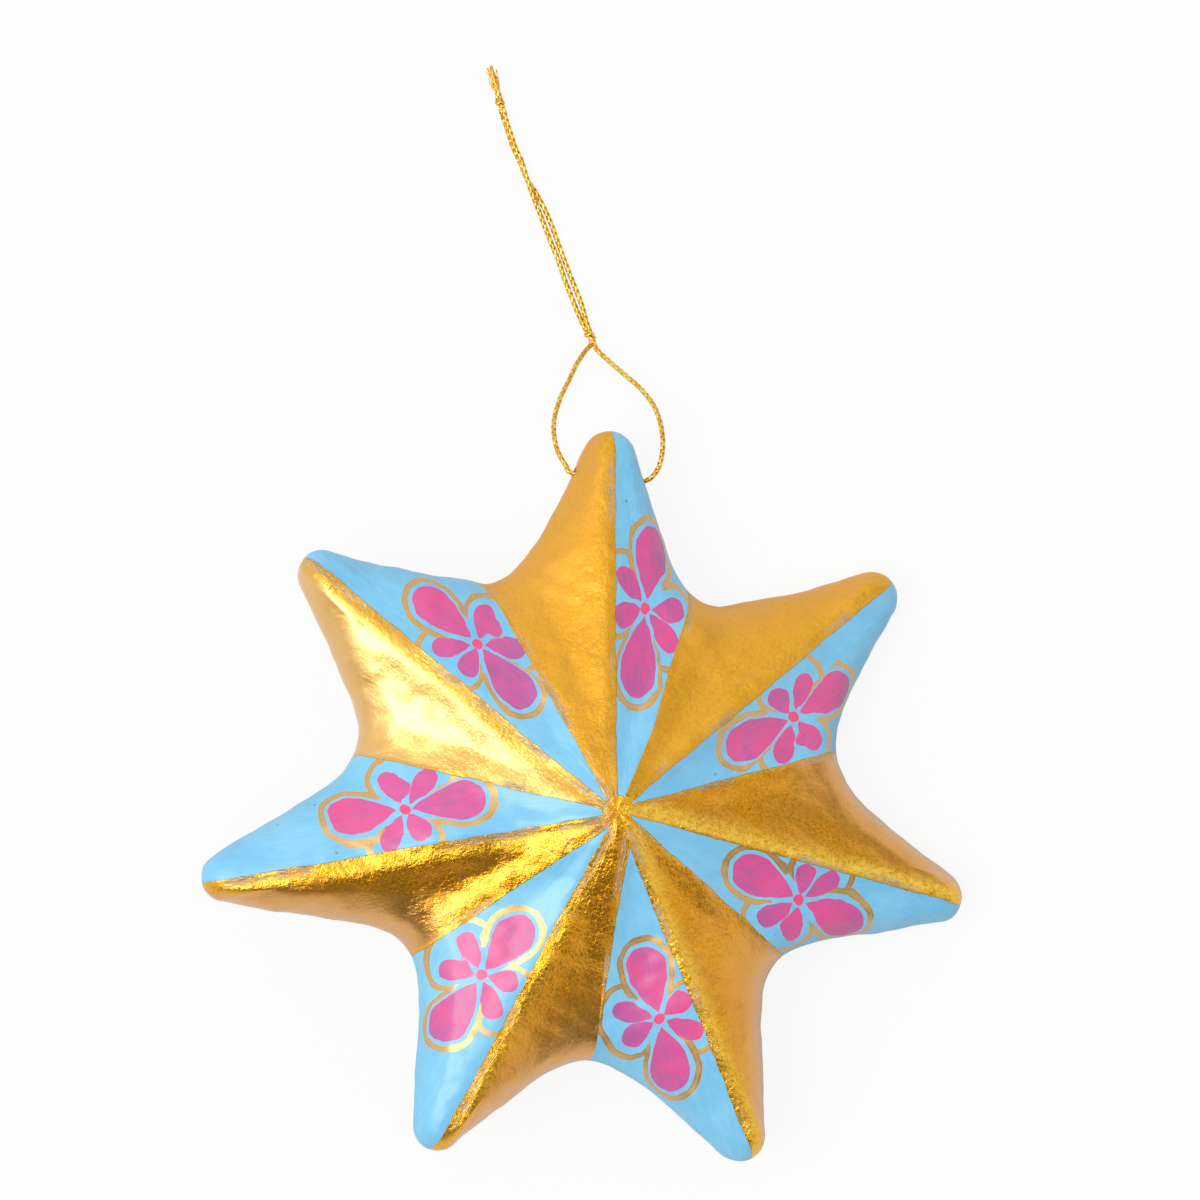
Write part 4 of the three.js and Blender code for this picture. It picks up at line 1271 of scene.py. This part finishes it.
def metallic_braid(settings):
    """Metallic thread: bright where it stands out of the braid, with painted shade between the threads."""
    material, net, shader = new_material("metallic_braid")
    if net is None:
        return material
    position = net.node("ShaderNodeTexCoord").outputs["Object"]
    height, shine, _ = net.split(net.attribute("braid"))
    glint = net.noise(position, 2600.0, 2.0, 0.6)
    # Painted shade: the dark colour and less metal laid where the braid's surface is low, between the threads
    share = net.step(height, 0.1, 0.55)
    tinted = net.mix(shine, linear(236, 166, 40), settings.bright)
    net.set(shader.inputs["Base Color"], net.mix(share, settings.dark, tinted))
    net.set(shader.inputs["Metallic"], net.math("MULTIPLY_ADD", share, 0.4, 0.5))
    net.set(shader.inputs["Roughness"], net.math("MULTIPLY_ADD", glint, 0.2, 0.16))
    bump = net.node("ShaderNodeBump", {"Strength": 0.5, "Distance": 0.00006, "Height": glint})
    net.set(shader.inputs["Normal"], bump.outputs[0])
    return material


# Cord

def catmull_rom(points, spacing):
    """Evenly spaced spots on a smooth centripetal curve through the points, in millimetres."""
    points = np.array(points, float)
    points = np.vstack([2 * points[0] - points[1], points, 2 * points[-1] - points[-2]])
    dense = []
    for a, b, c, d in zip(points, points[1:], points[2:], points[3:]):
        gaps = [max(np.linalg.norm(q - p), 1e-9) ** 0.5 for p, q in ((a, b), (b, c), (c, d))]
        knots = np.cumsum([0] + gaps)
        for t in np.linspace(knots[1], knots[2], CURVE_STEPS, endpoint=False):
            ab = a + (b - a) * (t - knots[0]) / (knots[1] - knots[0])
            bc = b + (c - b) * (t - knots[1]) / (knots[2] - knots[1])
            cd = c + (d - c) * (t - knots[2]) / (knots[3] - knots[2])
            low = ab + (bc - ab) * (t - knots[0]) / (knots[2] - knots[0])
            high = bc + (cd - bc) * (t - knots[1]) / (knots[3] - knots[1])
            dense.append(low + (high - low) * (t - knots[1]) / (knots[2] - knots[1]))
    dense.append(points[-2])
    return evenly(np.array(dense), spacing)


def evenly(spots, spacing):
    lengths = np.concatenate([[0], np.cumsum(np.linalg.norm(np.diff(spots, axis=0), axis=1))])
    count = max(2, int(round(lengths[-1] / spacing)) + 1)
    wanted = np.linspace(0, lengths[-1], count)
    return np.column_stack([np.interp(wanted, lengths, spots[:, axis]) for axis in range(3)])


def carried_frames(spots):
    """Two directions square to the path at each spot, turned as little as possible along it."""
    tangents = np.gradient(spots, axis=0)
    tangents /= np.linalg.norm(tangents, axis=1, keepdims=True)
    side = np.cross(tangents[0], (0, 0, 1))
    if np.linalg.norm(side) < 0.1:
        side = np.cross(tangents[0], (0, 1, 0))
    sides = []
    for tangent in tangents:
        side = side - tangent * np.dot(side, tangent)
        side = side / np.linalg.norm(side)
        sides.append(side)
    sides = np.array(sides)
    return sides, np.cross(tangents, sides)


def braid_height(angle, travelled, settings):
    """Height of the braid's surface, 0 to 1, and a random shine for each short stretch of thread that
    lies on top."""
    turns = travelled / (settings.lead / MM)
    around = angle / (2 * np.pi)
    one = settings.carriers * (around + turns)
    other = settings.carriers * (around - turns)
    near_one, near_other = np.round(one), np.round(other)
    upper_is_one = (near_one + near_other) % 2 == 0
    across = np.where(upper_is_one, one - near_one, other - near_other)
    along = np.where(upper_is_one, other - near_other, one - near_one)
    profile = np.sqrt(np.maximum(0, 1 - (across / 0.5) ** 2))
    height = profile * np.maximum(0, np.cos(np.pi * along)) ** 0.45
    wrapped = np.mod(near_one, settings.carriers) + settings.carriers * np.round(near_one - near_other)
    shine = np.mod(np.sin(wrapped * 12.9898 + 4.1) * 43758.5453, 1)
    return np.maximum(height, 0), shine


def braided_tube(name, spots, settings, thickness=1.0):
    """A closed tube along the spots with the braid standing out of it."""
    radius = settings.diameter / MM / 2 * thickness
    relief = 0.3 * radius
    sides, ups = carried_frames(spots)
    travelled = np.concatenate([[0], np.cumsum(np.linalg.norm(np.diff(spots, axis=0), axis=1))])
    angle = np.arange(CORD_SIDES) * 2 * np.pi / CORD_SIDES
    height, shine = braid_height(angle[None], travelled[:, None], settings)
    reach = radius - relief * (1 - height) + 0.02 * (shine - 0.5)
    closing = np.ones(len(spots))
    closing[[0, -1]] = 0.55
    reach = reach * closing[:, None]
    rings = (spots[:, None] + sides[:, None] * (np.cos(angle)[None, :, None] * reach[..., None])
             + ups[:, None] * (np.sin(angle)[None, :, None] * reach[..., None]))
    count = len(spots) * CORD_SIDES
    corners = np.concatenate([rings.reshape(-1, 3), spots[[0, -1]]])
    quads = stitched(len(spots), CORD_SIDES)
    start = fan(0, CORD_SIDES, count, flip=True)
    end = fan(count - CORD_SIDES, CORD_SIDES, count + 1)
    mesh = mesh_from(name, corners * MM, [quads, start, end], [metallic_braid(settings)])
    braid = np.zeros((len(corners), 3), np.float32)
    braid[:count, 0], braid[:count, 1] = height.ravel(), shine.ravel()
    layer = mesh.attributes.new("braid", "FLOAT_VECTOR", "POINT")
    layer.data.foreach_set("vector", braid.ravel())
    return new_object(name, mesh)


def hole_line():
    """Middle and direction of the cord's hole, from the joint that turns on it, and the ends of the
    stretch of cord in the arm."""
    joint = next(j for j in frame["joints"] if j["name"] == "loop_swing")
    middle = np.array(joint["pos_m"]) / MM
    along = np.array(joint["axis"]) / np.linalg.norm(joint["axis"])
    reach = (node_spots("cord_in_arm") / MM - middle) @ along
    return middle, along, reach.min(), reach.max()


def knot_middle(name):
    low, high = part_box(name)
    return np.array((low + high) / 2) / MM


def knot_spot(name, bearing, ahead, aside):
    """A place in a knot, so far along the way it points and so far to the right of it."""
    forward = heading(bearing)
    flat = forward * ahead - left_of(forward) * aside
    return knot_middle(name) + np.array([*flat, 0.0])


def knot_end(name, bearing, end, side, settings):
    """Two spots where a strand goes into a knot's end, on its right (1) or its left (-1)."""
    aside = side * settings.diameter / MM / 4
    return [knot_spot(name, bearing, end * KNOT_LENGTH * 0.35, aside),
            knot_spot(name, bearing, end * 0.2, aside * 0.7)]


def loop_route(settings):
    """From the lower knot down the left leg, through the arm and back up the right leg."""
    middle, along, low, high = hole_line()
    left_out, right_out = middle + along * low, middle + along * high
    left_end = knot_end("lower_knot", LOWER_KNOT_BEARING, -1, -1, settings)
    right_end = knot_end("lower_knot", LOWER_KNOT_BEARING, -1, 1, settings)
    return [*left_end[::-1], *LEFT_LEG[::-1], left_out, middle, right_out, *RIGHT_LEG, *right_end]


def strand_route(lower_side, upper_side, route, tail, settings):
    """From inside the lower knot to the end of a tail past the upper knot."""
    start = knot_end("lower_knot", LOWER_KNOT_BEARING, 1, lower_side, settings)
    into = knot_end("upper_knot", UPPER_KNOT_BEARING, -1, upper_side, settings)
    out = knot_end("upper_knot", UPPER_KNOT_BEARING, 1, upper_side, settings)
    return [*start[::-1], *route, into[0], knot_middle("upper_knot"), out[0], *tail]


def wound_knot(name, bearing, settings, turns, tilt, size):
    """The cord wound round itself and drawn tight."""
    forward = np.array([*heading(bearing), 0.0])
    middle = knot_middle(name) + 0.45 * forward
    aside = np.array([*left_of(heading(bearing)), 0.0])
    up = np.array([0, 0, 1.0])
    spots = []
    for step in range(KNOT_TURN_STEPS + 1):
        share = step / KNOT_TURN_STEPS
        angle = 2 * np.pi * (turns * share + tilt)
        radius = size * (0.2 + 0.26 * math.sin(math.pi * share))
        ahead = size * (1.0 * (share - 0.5) + 0.26 * math.cos(angle))
        spots.append(middle + forward * ahead + (aside * math.cos(angle) + up * math.sin(angle)) * radius)
    return braided_tube(name + "_turns", evenly(np.array(spots), CORD_RING_STEP), settings, 0.9)


def frayed_end(name, spots, settings, seed):
    """The loose threads of a tail, which spread and bend a little."""
    rng = np.random.default_rng(seed)
    end, way = spots[-1], spots[-1] - spots[-6]
    way /= np.linalg.norm(way)
    radius, sides = FRAY_THREAD_RADIUS, FRAY_THREAD_SIDES
    all_spots, all_faces, braid = [], [], []
    for _ in range(FRAY_THREADS):
        spread = rng.normal(size=3) * np.array([0.24, 0.1, 0.1])
        length = rng.uniform(*FRAY_LENGTHS)
        curl = rng.normal(size=3) * 0.14
        start = end - way * 0.6 + spread * 0.6
        share = np.linspace(0, 1, 11)[:, None]
        path = start + (way * length + spread) * share + curl * np.sin(share * np.pi * 1.4)
        path[:, 2] = np.maximum(path[:, 2], radius + 0.02)
        side, up = carried_frames(path)
        angle = np.arange(sides) * 2 * np.pi / sides
        ring = (path[:, None] + side[:, None] * np.cos(angle)[None, :, None] * radius
                + up[:, None] * np.sin(angle)[None, :, None] * radius)
        first = sum(len(s) for s in all_spots)
        all_spots += [ring.reshape(-1, 3), path[[0, -1]]]
        count = ring.shape[0] * sides
        all_faces += [stitched(len(path), sides) + first,
                      fan(0, sides, count, flip=True) + first,
                      fan(count - sides, sides, count + 1) + first]
        shine = rng.uniform(0.35, 1.0)
        braid += [(shine, rng.uniform(0, 1), 0)] * (count + 2)
    corners = np.concatenate(all_spots)
    mesh = mesh_from(name, corners * MM, all_faces, [metallic_braid(settings)])
    layer = mesh.attributes.new("braid", "FLOAT_VECTOR", "POINT")
    layer.data.foreach_set("vector", np.array(braid, np.float32).ravel())
    return new_object(name, mesh)


# Operators

class STAR_OT_stage(bpy.types.Operator):
    """Make the floor, the studio light and the camera that looks straight down"""

    bl_idname = "star.stage"
    bl_label = "Stage"

    def execute(self, context):
        settings = context.scene.star_stage
        half = settings.floor_size / 2
        mesh = bpy.data.meshes.new("floor")
        mesh.from_pydata([(-half, -half, 0), (half, -half, 0), (half, half, 0), (-half, half, 0)], [],
                         [(0, 1, 2, 3)])
        mesh.materials.append(self.floor_material(settings))
        floor = new_object("floor", mesh)
        floor.location.z = -0.00002
        self.world(context, settings)
        self.key_lamp(settings.key_power)
        self.camera(context, settings)
        context.scene.view_settings.view_transform = "Standard"
        return {"FINISHED"}

    def floor_material(self, settings):
        material, net, shader = new_material("floor_white")
        if net is None:
            return material
        net.set(shader.inputs["Base Color"], (0.75, 0.75, 0.75))
        net.set(shader.inputs["Roughness"], 0.9)
        shader.inputs["Specular IOR Level"].default_value = 0
        seen = net.node("ShaderNodeLightPath").outputs["Is Camera Ray"]
        glow = net.node("ShaderNodeEmission", {"Color": (1, 1, 1), "Strength": 1.0})
        mixed = net.node("ShaderNodeMixShader", {
            0: net.math("MULTIPLY", seen, settings.floor_white), 1: shader.outputs[0], 2: glow.outputs[0]})
        output = net.tree.nodes["Material Output"]
        net.set(output.inputs[0], mixed.outputs[0])
        return material

    def world(self, context, settings):
        world = bpy.data.worlds.new("studio")
        world.use_nodes = True
        net = Net(world.node_tree)
        background = world.node_tree.nodes["Background"]
        direction = net.node("ShaderNodeTexCoord").outputs["Generated"]
        height = net.split(direction)[2]
        low = net.step(height, 0.12, 0.42, settings.horizon, settings.room)
        level = net.blend(net.step(height, 0.82, 0.9), low, settings.ceiling)
        for panel, brightness in (
                (BACK_WALL, settings.back_wall), (LEFT_PANEL, settings.left_panel),
                (LOW_RIGHT_PANEL, settings.right_panel), (HIGH_RIGHT_PANEL, settings.right_panel)):
            level = net.math("MAXIMUM", level, self.over_panel(net, direction, panel, 0.0, brightness))
        level = net.math("MULTIPLY", level, self.over_panel(
            net, direction, DARK_CARD, 1.0, settings.dark_card))
        net.set(background.inputs["Color"], net.join(level, level, level))
        background.inputs["Strength"].default_value = 1
        context.scene.world = world

    def over_panel(self, net, direction, panel, outside, inside):
        """Goes from one value outside a panel to another inside it."""
        azimuth, elevation, outer, inner = panel
        toward = net.vector("DOT_PRODUCT", direction, self.way(azimuth, elevation), output=1)
        return net.step(toward, outer, inner, outside, inside)

    def key_lamp(self, radiance):
        """A square lamp that faces the star. Its power follows from how bright it looks."""
        data = bpy.data.lights.new("key_lamp", "AREA")
        data.shape = "SQUARE"
        data.size = KEY_SIDE
        data.energy = radiance * math.pi * KEY_SIDE * KEY_SIDE
        data.color = (1, 1 - KEY_WARMTH * 0.3, 1 - KEY_WARMTH)
        back = self.way(KEY_AZIMUTH, KEY_ELEVATION)
        lamp = new_object("key_lamp", data)
        lamp.location = Vector((0, 0, PEAK_HEIGHT * MM)) + back * KEY_DISTANCE
        lamp.rotation_mode = "QUATERNION"
        lamp.rotation_quaternion = back.to_track_quat("Z", "Y")

    def way(self, azimuth, elevation):
        """The direction of a lamp, by degrees anticlockwise from the right and degrees up."""
        turn, up = math.radians(azimuth), math.radians(elevation)
        return Vector((math.cos(turn) * math.cos(up), math.sin(turn) * math.cos(up), math.sin(up)))

    def camera(self, context, settings):
        """Straight above, so far off that the star shows nearly without perspective."""
        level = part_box("front_half_shell")[0].z + PHOTO_LEVEL * MM
        frame_width = PHOTO_PIXELS * PHOTO_MM_PER_PIXEL * MM
        data = bpy.data.cameras.new("camera")
        data.sensor_width = 36
        data.lens = settings.camera_distance / frame_width * data.sensor_width
        camera = new_object("camera", data)
        x, y = PHOTO_MIDDLE
        camera.location = (x * MM, y * MM, level + settings.camera_distance)
        context.scene.camera = camera


class STAR_OT_cord_loop(bpy.types.Operator):
    """Braid the cord that runs through the top arm, and the knot that closes its loop"""

    bl_idname = "star.cord_loop"
    bl_label = "Cord Loop"

    def execute(self, context):
        settings = context.scene.star_cord
        spots = catmull_rom(loop_route(settings), CORD_RING_STEP)
        loop = braided_tube("cord_loop", spots, settings)
        knot = wound_knot("lower_knot", LOWER_KNOT_BEARING, settings, 1.8, 0.1, 1.12)
        for piece in (loop, knot):
            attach(piece, "cord_loop")
        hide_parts("cord_in_arm", "left_cord_leg", "right_cord_leg")
        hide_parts("lower_knot")
        middle, along, low, _ = hole_line()
        return {"FINISHED"}


class STAR_OT_strands(bpy.types.Operator):
    """Braid the doubled cord past the lower knot, the upper knot and the frayed ends"""

    bl_idname = "star.strands"
    bl_label = "Hanging Strands"

    def execute(self, context):
        settings = context.scene.star_cord
        knot = wound_knot("upper_knot", UPPER_KNOT_BEARING, settings, 1.7, 0.3, 0.95)
        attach(knot, "hanging_cord")
        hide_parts("upper_knot")
        strands = (
            ("left_strand", -1, 1, LEFT_STRAND, RIGHT_TAIL, "right_tail"),
            ("right_strand", 1, -1, RIGHT_STRAND, LEFT_TAIL, "left_tail"),
        )
        for number, (name, lower, upper, route, tail, tail_name) in enumerate(strands):
            spots = catmull_rom(strand_route(lower, upper, route, tail, settings), CORD_RING_STEP)
            strand = braided_tube(name + "_braid", spots, settings)
            fray = frayed_end(tail_name + "_fray", spots, settings, FRAY_SEED + number)
            for piece in (strand, fray):
                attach(piece, "hanging_cord")
            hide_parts(name, tail_name)
        return {"FINISHED"}


class STAR_OT_half_shells(bpy.types.Operator):
    """Mould and paint the two hollow halves of the star"""

    bl_idname = "star.half_shells"
    bl_label = "Half Shells"

    def execute(self, context):
        settings = context.scene.star_paper
        place = seat()
        for name, side in (("front", 1), ("back", -1)):
            mesh = half_shell(side, settings, [painted_paper(settings), paper_pulp()])
            shell = seated(f"{name}_shell_skin", mesh, place)
            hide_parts(f"{name}_half_shell")
        return {"FINISHED"}


class STAR_OT_seam_strip(bpy.types.Operator):
    """Paste the paper strip round the seam and paint it over"""

    bl_idname = "star.seam_strip"
    bl_label = "Seam Strip"

    def execute(self, context):
        settings = context.scene.star_paper
        mesh = seam_strip(settings, [painted_paper(settings), paper_pulp()])
        strip = seated("rim_strip_skin", mesh, seat())
        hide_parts("rim_seam_strip")
        return {"FINISHED"}


def seated(name, mesh, place):
    """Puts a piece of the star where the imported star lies, drills it for the cord and fixes it there."""
    mesh.transform(place)
    piece = new_object(name, mesh)
    middle, along, low, high = hole_line()
    ends = (low - DRILL_PAST_ARM, high + DRILL_PAST_ARM)
    start, end = (Vector((middle + along * reach) * MM) for reach in ends)
    drilled(piece, start, end, HOLE_RADIUS * MM, paper_pulp())
    piece.data.name = name
    skin_shading(piece.data, place)
    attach(piece, "star")
    return piece


def skin_shading(mesh, place):
    """Shades the outside by the normals of the whole skin, so that no line shows where pieces meet."""
    stored = mesh.attributes["skin_normal"]
    normals = np.zeros(len(mesh.loops) * 3, np.float32)
    stored.data.foreach_get("vector", normals)
    turned = normals.reshape(-1, 3) @ np.array(place.to_3x3()).T
    mesh.attributes.remove(stored)
    mesh.normals_split_custom_set(turned.tolist())


class STAR_PT_ornament(bpy.types.Panel):
    """Lists the steps that make the ornament"""

    bl_label = "Star Ornament"
    bl_idname = "STAR_PT_ornament"
    bl_space_type = "VIEW_3D"
    bl_region_type = "UI"
    bl_category = "Star"

    def draw(self, context):
        layout = self.layout
        for title, settings, names in (
                ("Stage", context.scene.star_stage, StageSettings),
                ("Cord", context.scene.star_cord, CordSettings),
                ("Paper", context.scene.star_paper, StarSettings)):
            box = layout.box()
            box.label(text=title)
            for name in names.__annotations__:
                box.prop(settings, name)
        for step in STEPS:
            layout.operator(step.bl_idname)


STEPS = (STAR_OT_stage, STAR_OT_cord_loop, STAR_OT_strands, STAR_OT_half_shells, STAR_OT_seam_strip)
CLASSES = (StarSettings, CordSettings, StageSettings, *STEPS, STAR_PT_ornament)


def register():
    for made in CLASSES:
        bpy.utils.register_class(made)
    bpy.types.Scene.star_paper = bpy.props.PointerProperty(type=StarSettings)
    bpy.types.Scene.star_cord = bpy.props.PointerProperty(type=CordSettings)
    bpy.types.Scene.star_stage = bpy.props.PointerProperty(type=StageSettings)


def unregister():
    del bpy.types.Scene.star_stage
    del bpy.types.Scene.star_cord
    del bpy.types.Scene.star_paper
    for made in reversed(CLASSES):
        bpy.utils.unregister_class(made)


def main():
    register()
    bpy.ops.star.stage()
    bpy.ops.star.cord_loop()
    bpy.ops.star.strands()
    bpy.ops.star.half_shells()
    bpy.ops.star.seam_strip()


if __name__ == "__main__":
    main()
